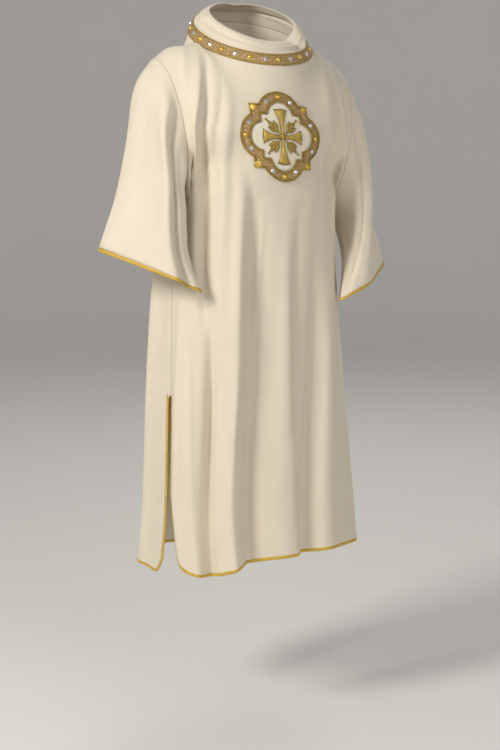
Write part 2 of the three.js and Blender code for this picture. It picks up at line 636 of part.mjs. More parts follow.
// Places round a panel's free edge, from the top of the right slit to the top of the left one, as
// distances in from the side edge and up from the hem.
function edgePlaces(inward) {
  const radius = slitCorner - inward;
  const sides = slitRows.map((down) => [inward, (3 - down) * bodyLength]);
  const corner = cornerTurns.slice(1, -1).map((turn) =>
    [slitCorner - radius * Math.cos(turn), slitCorner - radius * Math.sin(turn)]);
  const hem = columns.map((across) =>
    [halfRound * (1 + drawnIn(across, slitCorner / halfRound)), inward]);
  const mirror = [...sides, ...corner].reverse().map(([along, up]) => [2 * halfRound - along, up]);
  return [...sides, ...corner, ...hem, ...mirror];
}

function panelBinding(name, facing) {
  const places = [binding.width, seam * 2].map((inward) =>
    edgePlaces(inward).map(([along, up]) => [along / halfRound - 1, hemAway(up)]));
  const edges = places.map((row) => row.map((place) => panelPoint(facing, ...place)));
  const ways = places.map((row) => row.map((place) => panelWay(facing, ...place)));
  strip(name, ...edges, ...ways, false);
}
panelBinding('binding_front', -1);
panelBinding('binding_back', 1);

for (const side of ['right', 'left']) {
  const edges = [1 - binding.width / sleeveLength, 1].map((place) =>
    sleeveColumns.map((around) => sleevePoint(side, around, place)));
  const ways = pieces[`sleeve_${side}`].ways.at(-1);
  strip(`binding_cuff_${side}`, ...edges, ways, ways, true);
}

// ---- the band round the neck, laid on the collar's foot
const bandLevels = [0.08, 0.98];
const bandGrid = gridOf(collarTurns, bandLevels, collarPoint);
const bandWays = directions(bandGrid, true, 1);
const bandFace = (away) => bandGrid.map((row, j) =>
  row.map((point, i) => point.clone().addScaledVector(bandWays[j][i], away)));
const onBand = band.away + band.thick;
add('collar_band', shell(bandFace(onBand), bandFace(band.away), true), finishes.brocade);

// ---- studs: low domes with a flat foot
function studGeometry(sides) {
  const geometry = new THREE.CylinderGeometry(stud.top / 2, stud.across / 2, stud.high, sides);
  return geometry.rotateX(Math.PI / 2).translate(0, 0, stud.high / 2 + stud.clear);
}

function addStud(name, finish, point, way, sides = stud.sides) {
  const mesh = add(name, studGeometry(sides), finishes[finish]);
  mesh.position.copy(point);
  mesh.quaternion.setFromUnitVectors(V(0, 0, 1), way.clone().normalize());
  return mesh;
}

const kindOf = (k) => (k % 2 === 0 ? 'gold' : 'silver');
const number = (k) => String(k + 1).padStart(2, '0');
for (let k = 0; k < neck.pieces; k += 1) {
  const i = (k + neck.pieces / 2 - 1 + neck.pieces) % neck.pieces;
  const next = (i + 1) % neck.pieces;
  const face = bandFace(onBand);
  const corners = [face[0][i], face[0][next], face[1][i], face[1][next]];
  const middle = corners.reduce((sum, p) => sum.clone().add(p)).multiplyScalar(0.25);
  const over = corners[1].clone().sub(corners[0]);
  const way = over.cross(corners[2].clone().sub(corners[0])).normalize();
  const away = way.dot(middle) < 0 ? way.negate() : way;
  addStud(`neck_stud_${number(k)}`, `${kindOf(k)}Stud`, middle, away);
}

// ---- the medallion, laid on the front panel
// The place on the unfolded front panel that has this x and z.
function chestPlace(x, z) {
  let [a, b] = [x / 300, 1];
  const step = 0.002;
  for (let round = 0; round < 8; round += 1) {
    const here = panelBase(-1, a, b);
    const da = panelBase(-1, a + step, b).sub(here).divideScalar(step);
    const db = panelBase(-1, a, b + step).sub(here).divideScalar(step);
    const [missX, missZ] = [x - here.x, z - here.z];
    const scale = da.x * db.z - da.z * db.x;
    a += (missX * db.z - missZ * db.x) / scale;
    b += (missZ * da.x - missX * da.z) / scale;
  }
  return [a, b];
}

// A point of the medallion: p to the wearer's left and q up from its middle, and away from the cloth.
function medalPoint(p, q, away) {
  const x = medal.x + p - medal.lean * q;
  const z = -medal.drop + q - medal.dip * p;
  const place = chestPlace(x, z);
  return panelBase(-1, ...place).addScaledVector(panelWay(-1, ...place), away);
}

function quatrefoil({ lobe, lobeAt, square }, turn) {
  const [c, s] = [Math.abs(Math.cos(turn)), Math.abs(Math.sin(turn))];
  const side = lobeAt * Math.min(c, s);
  const round = side < lobe ? lobeAt * Math.max(c, s) + Math.sqrt(lobe ** 2 - side ** 2) : 0;
  return Math.max(round, square / Math.max(c, s));
}

// Turns at which the outline is drawn: the square's corners with their two notches, and the lobes.
const notch = 10.6;
const quarter = [45 - notch, 45, ...steps(45 + notch, 135 - notch, 8).slice(0, -1)];
const medalTurns = [0, 90, 180, 270].flatMap((start) =>
  quarter.map((turn) => THREE.MathUtils.degToRad(start + turn)));

function loop(turns, reach, away) {
  return turns.map((turn, i) =>
    medalPoint(reach(turn, i) * Math.cos(turn), reach(turn, i) * Math.sin(turn), away));
}

// A flat piece within one outline, with a ring of points half way in and one in the middle.
function plate(turns, reach, low, high) {
  const points = [];
  const index = [];
  const wide = turns.length;
  for (const away of [low, high]) {
    points.push(...loop(turns, reach, away), ...loop(turns, (t, i) => reach(t, i) / 2, away));
    points.push(medalPoint(0, 0, away));
  }
  const half = 2 * wide + 1;
  for (let i = 0; i < wide; i += 1) {
    const k = (i + 1) % wide;
    for (const start of [0, half]) {
      const faces = [i, k, wide + k, i, wide + k, wide + i, wide + i, wide + k, 2 * wide];
      const placed = faces.map((v) => v + start);
      index.push(...(start ? placed.reverse() : placed));
    }
    index.push(i, half + k, k, i, half + i, half + k);
  }
  return facesOut(points, index);
}

const frameShares = [0, 0.5, 1];
const frameReach = (turn, out) =>
  mix(quatrefoil(medal.inner, turn), quatrefoil(medal.outer, turn), out);
const frameLoops = (away) => frameShares.map((out) =>
  loop(medalTurns, (turn) => frameReach(turn, out), away));
const onFrame = medal.clear + medal.frame;
add('medallion_frame', shell(frameLoops(onFrame), frameLoops(medal.clear), true), finishes.brocade);

const fieldEdge = 0.8;
const onField = medal.clear + medal.field;
add('medallion_field',
  plate(medalTurns, (turn) => frameReach(turn, 0) - fieldEdge, medal.clear, onField),
  finishes.weave);

const emblemRows = [0, 90, 180, 270].flatMap((start) =>
  emblemOutline.map((row) => ({ ...row, turn: THREE.MathUtils.degToRad(start + row.turn) })));
const underEmblem = 1;
const onEmblem = onField + underEmblem;
add('medallion_emblem',
  plate(emblemRows.map((row) => row.turn), (turn, i) => emblemRows[i].reach,
    onEmblem, onEmblem + medal.emblem),
  finishes.goldThread);

// Studs on the frame: a gold one on each lobe between two silver ones, and a square one on each corner.
const studClear = 0.5;
function medalStud(k, finish, p, q, sides) {
  const point = medalPoint(p, q, onFrame + studClear);
  const way = point.clone().sub(medalPoint(p, q, 0));
  addStud(`medal_stud_${number(k)}`, finish, point, way, sides);
}
for (let k = 0; k < 4; k += 1) {
  const lobeTurn = k * Math.PI / 2;
  const places = [-1, 0, 1].map((side) => {
    const turn = lobeTurn + side * THREE.MathUtils.degToRad(medal.sideStud);
    const ring = medal.studRing;
    return [medal.outer.lobeAt * Math.cos(lobeTurn) + ring * Math.cos(turn),
      medal.outer.lobeAt * Math.sin(lobeTurn) + ring * Math.sin(turn)];
  });
  medalStud(4 * k, 'silverStud', ...places[0]);
  medalStud(4 * k + 1, 'goldStud', ...places[1]);
  medalStud(4 * k + 2, 'silverStud', ...places[2]);
  const corner = lobeTurn + Math.PI / 4;
  const reach = medal.cornerStud * Math.SQRT2;
  medalStud(4 * k + 3, 'goldStud', reach * Math.cos(corner), reach * Math.sin(corner), 4);
}

export default garment;
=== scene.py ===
"""A dalmatic, the wide-sleeved vestment of a deacon, as it hangs when it is worn.

The cloth is worked out in millimetres from a few sizes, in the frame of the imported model: +Z up, the
front towards -Y, the wearer's left at +X, and the origin in the middle of the neck opening.
"""

import math

import bmesh
import bpy
import numpy as np
from bpy.props import FloatProperty, FloatVectorProperty, IntProperty, PointerProperty
from mathutils import Euler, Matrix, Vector
from mathutils.bvhtree import BVHTree


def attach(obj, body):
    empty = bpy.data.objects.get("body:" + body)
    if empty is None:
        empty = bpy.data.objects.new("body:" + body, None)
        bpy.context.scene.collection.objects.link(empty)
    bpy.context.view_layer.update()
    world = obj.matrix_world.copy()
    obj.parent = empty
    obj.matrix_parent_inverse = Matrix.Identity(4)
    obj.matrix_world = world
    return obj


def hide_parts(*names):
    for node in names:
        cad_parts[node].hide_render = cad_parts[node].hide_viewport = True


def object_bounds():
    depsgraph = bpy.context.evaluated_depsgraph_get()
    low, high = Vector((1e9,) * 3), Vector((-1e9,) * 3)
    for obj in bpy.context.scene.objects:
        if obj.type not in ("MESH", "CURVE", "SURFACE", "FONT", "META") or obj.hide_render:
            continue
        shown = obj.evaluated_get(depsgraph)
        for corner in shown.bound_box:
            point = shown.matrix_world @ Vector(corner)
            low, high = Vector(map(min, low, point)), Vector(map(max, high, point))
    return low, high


bl_info = {
    "name": "Dalmatic",
    "version": (1, 0, 0),
    "blender": (4, 5, 0),
    "location": "View3D > Sidebar > Dalmatic",
    "description": "Builds a worn dalmatic: cloth, collar, bindings, brocade, studs and embroidery",
    "category": "Object",
}

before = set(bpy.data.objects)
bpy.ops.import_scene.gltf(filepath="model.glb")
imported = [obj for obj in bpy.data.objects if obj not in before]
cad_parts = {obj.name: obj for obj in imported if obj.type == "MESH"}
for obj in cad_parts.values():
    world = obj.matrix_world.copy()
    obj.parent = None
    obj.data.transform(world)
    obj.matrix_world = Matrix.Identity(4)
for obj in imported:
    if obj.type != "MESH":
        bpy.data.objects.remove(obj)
CAD_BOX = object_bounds()
MM = 0.001
QUARTER = math.pi / 2
CAMERA_PLACE, CAMERA_TURN = (-1.932, -3.633, -0.125), math.radians(-28)

# ------------------------------------------------------------------------------ sizes of the cut
CLOTH = 2.0                     # thickness of the wool
SLIT_TOP = 760.0                # how far down the side seams are sewn
SLIT_CORNER = 42.0              # radius of the corners beside the slits
BINDING = 8.0                   # width of the rolled binding
BINDING_THICK = 3.6             # and how thick it is
BODY_LENGTH = 815.0             # from the underarm to the hem
UNDERARM = 330.0
HEM_DROP = 1150.0
SLIT_DOWN = 2 + (SLIT_TOP - UNDERARM) / BODY_LENGTH
SLIT_PARTS = 0.55               # how far down the slit its edges begin to part
SLIT_RUN, HEM_RUN = 400, 560    # about how long a slit and a panel's hem are
HALF_ROUND = 300.0              # half a panel's width at the hem
TOP_HALF = 315.0                # and along its upper edge
NECK_HALF_WIDTH, NECK_HALF_DEPTH, NECK_TILT, NECK_STUDS = 137.0, 135.0, 0.385, 26
NECK_SHARE = 0.667              # of a panel's width, how much starts at the neck
BAND_RISE, BAND_LEAN = 23.0, 12.0       # height of the neck band, and how far it leans in
RIM_DEPTH = 0.96                # the collar rim's reach to the front and back, as a share of its table
RIM_BULGE = 0.12                # how far the collar bows out between band and rim, for its rise
SLEEVE_LENGTH = 360.0
SLEEVE_HOLD = 0.15              # how far down a sleeve its folds reach their full height
SHOULDER_RISE = 10.0            # how far the right shoulder stands over its straight seam
YOKE_ROUND, YOKE_FROM, YOKE_UNTIL = 0.25, 0.2, 0.76     # how rounded the yoke is, across a panel
# Where the folds die away: beside the seams, down to the slits, below the shoulder seams, and on the
# chest under the medallion.
FLAT_SIDE, FLAT_SLIT, FLAT_SHOULDER, FLAT_CHEST = 0.88, (2.45, 2.6), 0.22, (0.5, 135)

# Highest and lowest point of each armhole, and how far it bows out to the front and the back.
ARMHOLES = {
    -1: (np.array([-228.0, 12, -36]), np.array([-186.0, -8, -330]), 95.0),
    1: (np.array([228.0, 12, -60]), np.array([184.0, -8, -344]), 95.0),
}
# drop, right x, right y, left x, left y, front y, back y
LEVELS = np.array([
    (183, -206, 0, 208, 0, -160, 150),
    (330, -186, -8, 184, -8, -158, 142),
    (520, -210, -30, 190, -20, -162, 150),
    (760, -226, -54, 206, -34, -170, 166),
    (1000, -232, -56, 226, -40, -180, 182),
    (1150, -234, -54, 238, -42, -190, 196),
], float)
# How far the slits' edges have parted at the hem: (right x, right y, left x, left y).
SLIT_SPREAD = {-1: (12, -52, -3, -22), 1: (-8, 8, 6, 10)}
HEM_EDGES = (-1154.0, -1126.0)
# across, height of the hem
HEMS = {
    -1: np.array([(-1, -1154), (-0.72, -1158), (-0.42, -1134), (0, -1124), (0.4, -1120), (1, -1126)]),
    1: np.array([(-1, -1176), (-0.5, -1172), (0, -1160), (1, -1140)]),
}
BOXY = {-1: 2.4, 1: 3.2}        # 2 would make the body's section an ellipse

# Folds: where the crest stands at its start, half way and at its end, in millimetres round the panel
# from the centre line, the drops where it starts and ends, its half widths on the wearer's right and
# left, and its height.
FRONT_FOLDS = [
    (-212, -196, -198, -20, 590, 30, 8, 17),
    (-195, -181, -184, -20, 650, 7, 14, -12),
    (-126, -138, -142, 60, 760, 24, 20, 12),
    (-92, -126, -190, 170, 1500, 26, 20, 27),
    (-160, -192, -250, 520, 1500, 16, 15, -24),
    (-236, -262, -290, 480, 1500, 22, 20, 12),
    (-70, -92, -170, 190, 1500, 15, 34, -18),
    (5, -5, -60, 300, 1500, 40, 22, 14),
    (90, 40, -60, 420, 1500, 14, 30, -15),
    (140, 95, 20, 360, 1500, 30, 44, 13),
    (240, 158, 190, -60, 520, 13, 18, -13),
    (180, 210, 240, 330, 1500, 24, 24, -11),
]
BACK_FOLDS = [
    (-240, -250, -280, 60, 1500, 36, 32, 14),
    (-180, -186, -200, 165, 1500, 30, 36, -14),
    (-110, -112, -130, 140, 1500, 36, 36, 18),
    (-24, -26, -40, 195, 1500, 36, 42, -14),
    (60, 66, 80, 140, 1500, 39, 36, 18),
    (140, 148, 170, 210, 1500, 36, 30, -14),
    (220, 236, 260, 60, 1500, 36, 30, 18),
]
# Finer creases that the weight of the cloth draws, in the same columns.
FRONT_CREASES = [
    (-246, -236, -230, -40, 330, 9, 12, 4),
    (-150, -152, -150, 60, 420, 12, 10, -4),
    (-40, -66, -96, 300, 900, 12, 10, 4),
    (40, 28, 10, 330, 900, 10, 12, -4),
    (262, 214, 224, -30, 430, 10, 10, -6),
    (210, 186, 200, 20, 520, 12, 10, 5),
    (-214, -226, -240, 560, 1400, 12, 12, 7),
    (-100, -140, -160, 640, 1500, 9, 12, -6),
    (20, 0, -30, 700, 1500, 12, 12, 5),
]
BACK_CREASES = [
    (-210, -214, -230, 200, 1200, 12, 14, 5),
    (-150, -152, -160, 260, 1400, 12, 12, 5),
    (-60, -66, -80, 240, 1300, 14, 12, 4),
    (20, 22, 24, 260, 1400, 12, 14, -4),
    (104, 108, 124, 240, 1300, 12, 12, -5),
    (190, 196, 214, 200, 1300, 14, 12, 5),
]

# share of the sleeve's length, outer fold x y z, inner fold x y z, front bow x y z, back bow x y z
SLEEVES = {
    -1: np.array([
        (0, -228, 12, -36, -186, -8, -330, 0, -95, 0, 0, 95, 0),
        (0.22, -265, 19, -88, -208, -30, -368, -3, -101, 6, 0, 84, -10),
        (0.46, -286, 22, -190, -220, -62, -414, 2, -100, 6, 4, 68, -16),
        (0.72, -316, 17, -312, -218, -98, -466, -4, -80, 6, 4, 56, -12),
        (1, -367, 10, -449, -190, -140, -533, -16, -56, 4, 8, 52, 4),
    ], float),
    1: np.array([
        (0, 228, 12, -60, 184, -8, -344, 0, -95, 0, 0, 95, 0),
        (0.22, 247, 18, -112, 204, -28, -388, 6, -90, 6, 2, 84, -10),
        (0.46, 276, 20, -222, 202, -66, -436, 8, -76, 6, 8, 70, -12),
        (0.72, 304, 22, -350, 180, -112, -494, 10, -56, 8, 18, 62, -8),
        (1, 362, 24, -506, 146, -150, -566, 16, -40, 12, 24, 60, 0),
    ], float),
}
# The folds of each sleeve, in quarters of a turn and shares of its length.
SLEEVE_FOLDS = {
    -1: [
        (0.42, 1.0, 1.5, -0.25, 1.35, 0.22, 0.1, 15),
        (0.6, 1.16, 1.66, -0.25, 1.3, 0.1, 0.16, -12),
        (0.9, 1.5, 1.9, -0.25, 1.0, 0.13, 0.09, 10),
        (1.04, 1.62, 2.0, -0.25, 0.95, 0.09, 0.14, -9),
        (3.4, 3, 2.7, 0.1, 1.3, 0.3, 0.3, 8),
        (0.1, 0.5, 0.8, 0.05, 1.2, 0.12, 0.16, -3),
    ],
    1: [
        (0.4, 1, 1.6, -0.1, 1.3, 0.3, 0.2, 10),
        (0.7, 1.36, 1.9, -0.1, 1.1, 0.16, 0.22, -9),
        (3.4, 3, 2.7, 0.1, 1.3, 0.3, 0.3, 8),
        (0.1, 0.6, 1.1, 0.05, 1.2, 0.12, 0.16, -3),
    ],
}

# The collar's rim: angle round the neck from the front, reach from the middle, rise above the band.
RIM = np.array([
    (-180, 96, 10), (-130, 100, 22), (-90, 104, 34), (-50, 110, 34), (-10, 114, 27), (25, 112, 22),
    (48, 92, 10), (66, 108, 26), (110, 106, 26), (180, 96, 10),
], float)

# The medallion: lobe radius, the lobes' distance from the middle and half the square's side.
MEDAL_X, MEDAL_DROP, MEDAL_LEAN, MEDAL_DIP = -6.0, 204.0, 0.078, 0.064
OUTER = (52.0, 44.0, 68.0)
INNER = (30.0, 44.0, 47.0)
NOTCH = 10.6
STUD_RING, STUD_TURN, CORNER_STUD = 41.0, 43.0, 61.0    # where the studs sit on the frame
STUD_WIDTHS = {"gold": 0.0098, "silver": 0.0086, "corner": 0.013}
ON_FRAME = 2.9                  # how far the frame's cords and studs stand off the cloth


# ------------------------------------------------------------------------------ small helpers
def mix(a, b, t):
    return a + (b - a) * t


def ease(x, low, high):
    t = np.clip((x - low) / (high - low), 0, 1)
    return t * t * (3 - 2 * t)


def unit(vectors):
    return vectors / np.maximum(np.linalg.norm(vectors, axis=-1, keepdims=True), 1e-9)


def read_table(table, place):
    """A smooth curve through each column of a table, read at places given in its first column."""
    x, y = table[:, 0], table[:, 1:]
    last = len(x) - 1
    slopes = np.array([(y[min(i + 1, last)] - y[max(i - 1, 0)]) / (x[min(i + 1, last)] - x[max(i - 1, 0)])
                       for i in range(len(x))])
    place = np.clip(place, x[0], x[-1])
    low = np.clip(np.searchsorted(x, place, side="right") - 1, 0, last - 1)
    step = (x[low + 1] - x[low])[..., None]
    t = (place - x[low])[..., None] / step
    bend = slopes[low] * step * (t ** 3 - 2 * t ** 2 + t) + slopes[low + 1] * step * (t ** 3 - t ** 2)
    return mix(y[low], y[low + 1], 3 * t ** 2 - 2 * t ** 3) + bend


def fold_height(folds, across, down):
    """The height of all the folds in a list at places on a piece."""
    height = np.zeros(np.broadcast(across, down).shape)
    for top, middle, foot, start, end, to_right, to_left, lift in folds:
        t = (down - start) / (end - start)
        crest = top * (1 - t) * (1 - 2 * t) + middle * 4 * t * (1 - t) + foot * t * (2 * t - 1)
        side = across - crest
        half = np.where(side < 0, to_right, to_left) * mix(0.7, 1, t)
        strength = ease(t, 0, 0.33) * (1 - ease(t, 0.75, 1))
        bump = lift * strength * np.exp(-np.minimum((side / half) ** 2, 40))
        height += np.where((t > 0) & (t < 1), bump, 0)
    return height


def ripple(across, down):
    """The slight unevenness of hanging cloth, in millimetres."""
    return (1.1 * np.sin(across / 21 + np.sin(down / 170)) * np.sin(down / 260 + across / 140)
            + 0.7 * np.sin(across / 9.5 + 1.3 + down / 210) * np.sin(down / 120 + across / 33)
            + 0.35 * np.sin(down / 17 + across / 28) * np.sin(across / 13))


# ------------------------------------------------------------------------------ the body panels
def neck_point(turn):
    y = -NECK_HALF_DEPTH * np.cos(turn)
    return np.stack([NECK_HALF_WIDTH * np.sin(turn), y, NECK_TILT * y], -1)


def armhole_point(side, facing, down):
    top, bottom, bow = ARMHOLES[side]
    turn = (down * QUARTER)[..., None]
    point = (top + bottom) / 2 + (top - bottom) / 2 * np.cos(turn)
    point[..., 1] += np.sin(turn[..., 0]) * facing * bow
    return point


def panel_top(facing, across):
    """The upper edge of a panel: one shoulder seam, the neckline and the other shoulder seam."""
    turn = across / NECK_SHARE * QUARTER
    neck = neck_point(turn if facing < 0 else math.pi - turn)
    side = np.sign(across)
    out = np.clip((np.abs(across) - NECK_SHARE) / (1 - NECK_SHARE), 0, 1)[..., None]
    shoulder = np.where(side[..., None] < 0, ARMHOLES[-1][0], ARMHOLES[1][0])
    seam = mix(neck_point(side * QUARTER), shoulder, out)
    seam[..., 2] += np.where(side < 0, SHOULDER_RISE, 0) * np.sin(out[..., 0] ** 1.4 * math.pi) ** 2
    return np.where(out > 0, seam, neck)


BOWS = np.sin(np.linspace(-1, 1, 81) * QUARTER)


def panel_row(facing, across, down):
    """Points across a panel from the chest down, evenly spaced along each level, and half its length."""
    own_hem = read_table(HEMS[facing], across)[..., 0]
    seam_hem = mix(*HEM_EDGES, (across + 1) / 2)
    hem = mix(seam_hem, own_hem, ease(down, SLIT_DOWN, 3))
    low = np.maximum(down - 2, 0)
    round_ = ease(down, 1, 2)
    right = armhole_point(-1, facing, np.minimum(down, 2))
    left = armhole_point(1, facing, np.minimum(down, 2))
    share = (across + 1) / 2
    arc_z = mix(right[..., 2], left[..., 2], share)
    top_z = mix(ARMHOLES[-1][0][2], ARMHOLES[1][0][2], share)
    bottom_z = mix(ARMHOLES[-1][1][2], ARMHOLES[1][1][2], share)
    even_z = mix((top_z + bottom_z) / 2, bottom_z, np.clip(down - 1, 0, 1))
    arm_z = mix(even_z, arc_z, ease(np.abs(across), 0.6, 1))
    row = read_table(LEVELS, mix(-arm_z, HEM_DROP, low))
    parting = mix(SLIT_DOWN, 3, SLIT_PARTS)
    opening = (np.maximum(down - parting, 0) / (3 - parting)) ** 1.5
    below = low > 0
    spread = SLIT_SPREAD[facing]
    right_x = np.where(below, row[..., 0] + spread[0] * opening, right[..., 0])
    right_y = np.where(below, row[..., 1] + spread[1] * opening, right[..., 1])
    left_x = np.where(below, row[..., 2] + spread[2] * opening, left[..., 0])
    left_y = np.where(below, row[..., 3] + spread[3] * opening, left[..., 1])
    middle_y = row[..., 4] if facing < 0 else row[..., 5]
    power = BOXY[facing]

    localised = np.where(below, 0, ease(down, 1, 1.7))

    def curve(bow, *values):
        side_r, side_l, edge_r, edge_l, middle, turning, local = values
        near = mix(1, ease(np.abs(bow), 0.9, 1), local)
        edge = mix(mix(side_r, side_l, (bow + 1) / 2), mix(edge_r, edge_l, (bow + 1) / 2), near)
        rise = np.maximum(1 - np.abs(bow) ** power, 0) ** mix(1, 1 / power, turning)
        return edge + (middle - edge) * rise

    values = (row[..., 1], row[..., 3], right_y, left_y, middle_y, round_, localised)
    heights = curve(BOWS, *(value[..., None] for value in values))
    width = (left_x - right_x)[..., None]
    pieces = np.hypot(np.diff(BOWS) * width / 2, np.diff(heights, axis=-1))
    lengths = np.concatenate([np.zeros_like(width), np.cumsum(pieces, axis=-1)], axis=-1)
    wanted = share * lengths[..., -1]
    k = np.clip((lengths < wanted[..., None]).sum(-1), 1, len(BOWS) - 1)
    before = np.take_along_axis(lengths, k[..., None] - 1, -1)[..., 0]
    after = np.take_along_axis(lengths, k[..., None], -1)[..., 0]
    bow = mix(BOWS[k - 1], BOWS[k], (wanted - before) / (after - before))
    point = np.stack([mix(right_x, left_x, (bow + 1) / 2),
                      curve(bow, *values),
                      mix(arm_z, hem, low)], -1)
    return point, lengths[..., -1] / 2


def panel_yoke(facing, across, down):
    """The panel above the chest, bending over the shoulder."""
    start = panel_top(facing, across)
    chest = panel_row(facing, across, np.ones_like(down))[0]
    turn = down * QUARTER
    over = mix(YOKE_ROUND, 1, ease(np.abs(across), YOKE_FROM, YOKE_UNTIL))
    return np.stack([
        mix(start[..., 0], chest[..., 0], down),
        mix(start[..., 1], chest[..., 1], mix(down, np.sin(turn), over)),
        mix(start[..., 2], chest[..., 2], mix(down, 1 - np.cos(turn), over)),
    ], -1)


def panel_base(facing, across, down):
    """Points of a panel with no folds: down is 0 at the top, 1 chest, 2 underarm and 3 hem."""
    point = panel_row(facing, across, np.maximum(down, 1))[0]
    upper = down < 1
    if upper.any():
        a, d = across[upper], down[upper]
        side = np.where(a < 0, -1.0, 1.0)
        edge = np.where(side[:, None] < 0, armhole_point(-1, facing, d), armhole_point(1, facing, d))
        miss = edge - panel_yoke(facing, side, d)
        point[upper] = panel_yoke(facing, a, d) + miss * ease(np.abs(a), 0.5, 1)[:, None]
    return point


def round_to(facing, across, down):
    """How far round the panel places are from its centre line."""
    half = panel_row(facing, across, np.maximum(down, 1))[1]
    return across * mix(TOP_HALF, half, np.minimum(down, 1))


def panel_point(facing, across, down):
    """Points of a panel with its folds."""
    across, down = (np.array(v, float) for v in np.broadcast_arrays(across, down))
    step = 0.01
    a = np.clip(across, -1 + step, 1 - step)
    b = np.clip(down, step, 3 - step)
    over = panel_base(facing, a + step, b) - panel_base(facing, a - step, b)
    along = panel_base(facing, a, b + step) - panel_base(facing, a, b - step)
    out = unit(np.cross(over, along)) * facing
    point = panel_base(facing, across, down)
    place = round_to(facing, across, down)
    drop = -point[..., 2]
    folds = FRONT_FOLDS + FRONT_CREASES if facing < 0 else BACK_FOLDS + BACK_CREASES
    height = fold_height(folds, place, drop) + ripple(place, drop) * ease(drop, 0, 300)
    hold = 1 - ease(np.abs(across), FLAT_SIDE, 1) * (1 - ease(down, *FLAT_SLIT))
    hold = hold * ease(down, 0, FLAT_SHOULDER)
    if facing < 0:
        wide, high = FLAT_CHEST
        hold = hold * ease(np.hypot(across / wide, (point[..., 2] + MEDAL_DROP) / high), 0.8, 1.2)
    return point + out * (height * hold)[..., None]


def panel_way(facing, across, down):
    """The outward direction of a panel's folded surface."""
    step = 0.004
    a = np.clip(across, -1 + step, 1 - step)
    b = np.clip(down, step, 3 - step)
    over = panel_point(facing, a + step, b) - panel_point(facing, a - step, b)
    along = panel_point(facing, a, b + step) - panel_point(facing, a, b - step)
    return unit(np.cross(over, along)) * facing


# ------------------------------------------------------------------------------ sleeves and collar
def sleeve_base(side, around, share):
    row = read_table(SLEEVES[side], share)
    outer, inner, front, back = (row[..., k:k + 3] for k in (0, 3, 6, 9))
    turn = (around * QUARTER)[..., None]
    bow = np.where(np.sin(turn) > 0, front, back)
    lens = np.abs(np.sin(turn)) * (1 - 0.25 * share[..., None] * np.maximum(np.cos(turn), 0))
    return (outer + inner) / 2 + (outer - inner) / 2 * np.cos(turn) + bow * lens


def sleeve_point(side, around, share):
    """Points of a sleeve: around in quarters of a turn, share 0 at the armhole and 1 at the cuff."""
    around, share = (np.array(v, float) for v in np.broadcast_arrays(around, share))
    step = 0.01
    b = np.clip(share, step, 1 - step)
    over = sleeve_base(side, around + step, b) - sleeve_base(side, around - step, b)
    along = sleeve_base(side, around, b + step) - sleeve_base(side, around, b - step)
    out = unit(np.cross(over, along)) * side
    lift = sum(fold_height(SLEEVE_FOLDS[side], around + lap, share) for lap in (-4, 0, 4))
    turn = around * QUARTER
    lift = lift + 0.8 * np.sin(turn * 9 + share * 7) * np.sin(share * 11 + turn * 3)
    return sleeve_base(side, around, share) + out * (lift * ease(share, 0, SLEEVE_HOLD))[..., None]


def collar_point(turn, level):
    """Points of the collar: level 0 at the neckline, 1 at the band's top and 2 at the rim."""
    turn, level = (np.array(v, float) for v in np.broadcast_arrays(turn, level))
    foot = neck_point(turn)
    top = foot * (NECK_HALF_WIDTH - BAND_LEAN) / NECK_HALF_WIDTH
    top[..., 2] = foot[..., 2] + BAND_RISE
    reach, rise = np.moveaxis(read_table(RIM, (np.degrees(turn) + 180) % 360 - 180), -1, 0)
    s, c = np.sin(turn), np.cos(turn)
    edge = np.stack([s * reach, -c * reach * RIM_DEPTH, top[..., 2] + rise], -1)
    share = np.clip(level - 1, 0, 1)[..., None]
    lean = RIM_BULGE * rise[..., None] * np.sin(share * math.pi)
    away = np.stack([s, -c, np.zeros_like(s)], -1)
    upper = mix(top, edge, share) + away * lean
    return np.where(level[..., None] <= 1, mix(foot, top, np.clip(level, 0, 1)[..., None]), upper)


# ------------------------------------------------------------------------------ meshes
def grid_ways(grid, closed, outward):
    """The outward direction at each point of a grid, in rows of columns."""
    if closed:
        over = np.roll(grid, -1, axis=1) - np.roll(grid, 1, axis=1)
    else:
        over = np.gradient(grid, axis=1)
    return unit(np.cross(over, np.gradient(grid, axis=0))) * outward


def new_object(name, data):
    made = bpy.data.objects.new(name, data)
    bpy.context.scene.collection.objects.link(made)
    return made


def set_uvs(mesh, places):
    """Gives each corner of a mesh the UV of its point, in metres."""
    layer = mesh.uv_layers.get("cloth") or mesh.uv_layers.new(name="cloth")
    corner = np.empty(len(mesh.loops), dtype=np.int32)
    mesh.loops.foreach_get("vertex_index", corner)
    layer.data.foreach_set("uv", places[corner].ravel())


def point_places(mesh):
    places = np.empty(len(mesh.vertices) * 3)
    mesh.vertices.foreach_get("co", places)
    return places.reshape(-1, 3)


def new_piece(name, points, faces, uvs):
    """An object of points in millimetres, its faces turned outwards, with UVs in metres."""
    mesh = bpy.data.meshes.new(name)
    points = np.asarray(points, float)
    mesh.from_pydata((points * MM).tolist(), [], faces)
    quad_sum = sum(float(np.dot(points[f[0]], np.cross(points[f[1]], points[f[2]]))
                         + (np.dot(points[f[0]], np.cross(points[f[2]], points[f[3]]))
                            if len(f) > 3 else 0)) for f in faces)
    if quad_sum < 0:
        mesh.flip_normals()
    mesh.polygons.foreach_set("use_smooth", [True] * len(mesh.polygons))
    set_uvs(mesh, np.asarray(uvs, float) * MM)
    mesh.update()
    return new_object(name, mesh)


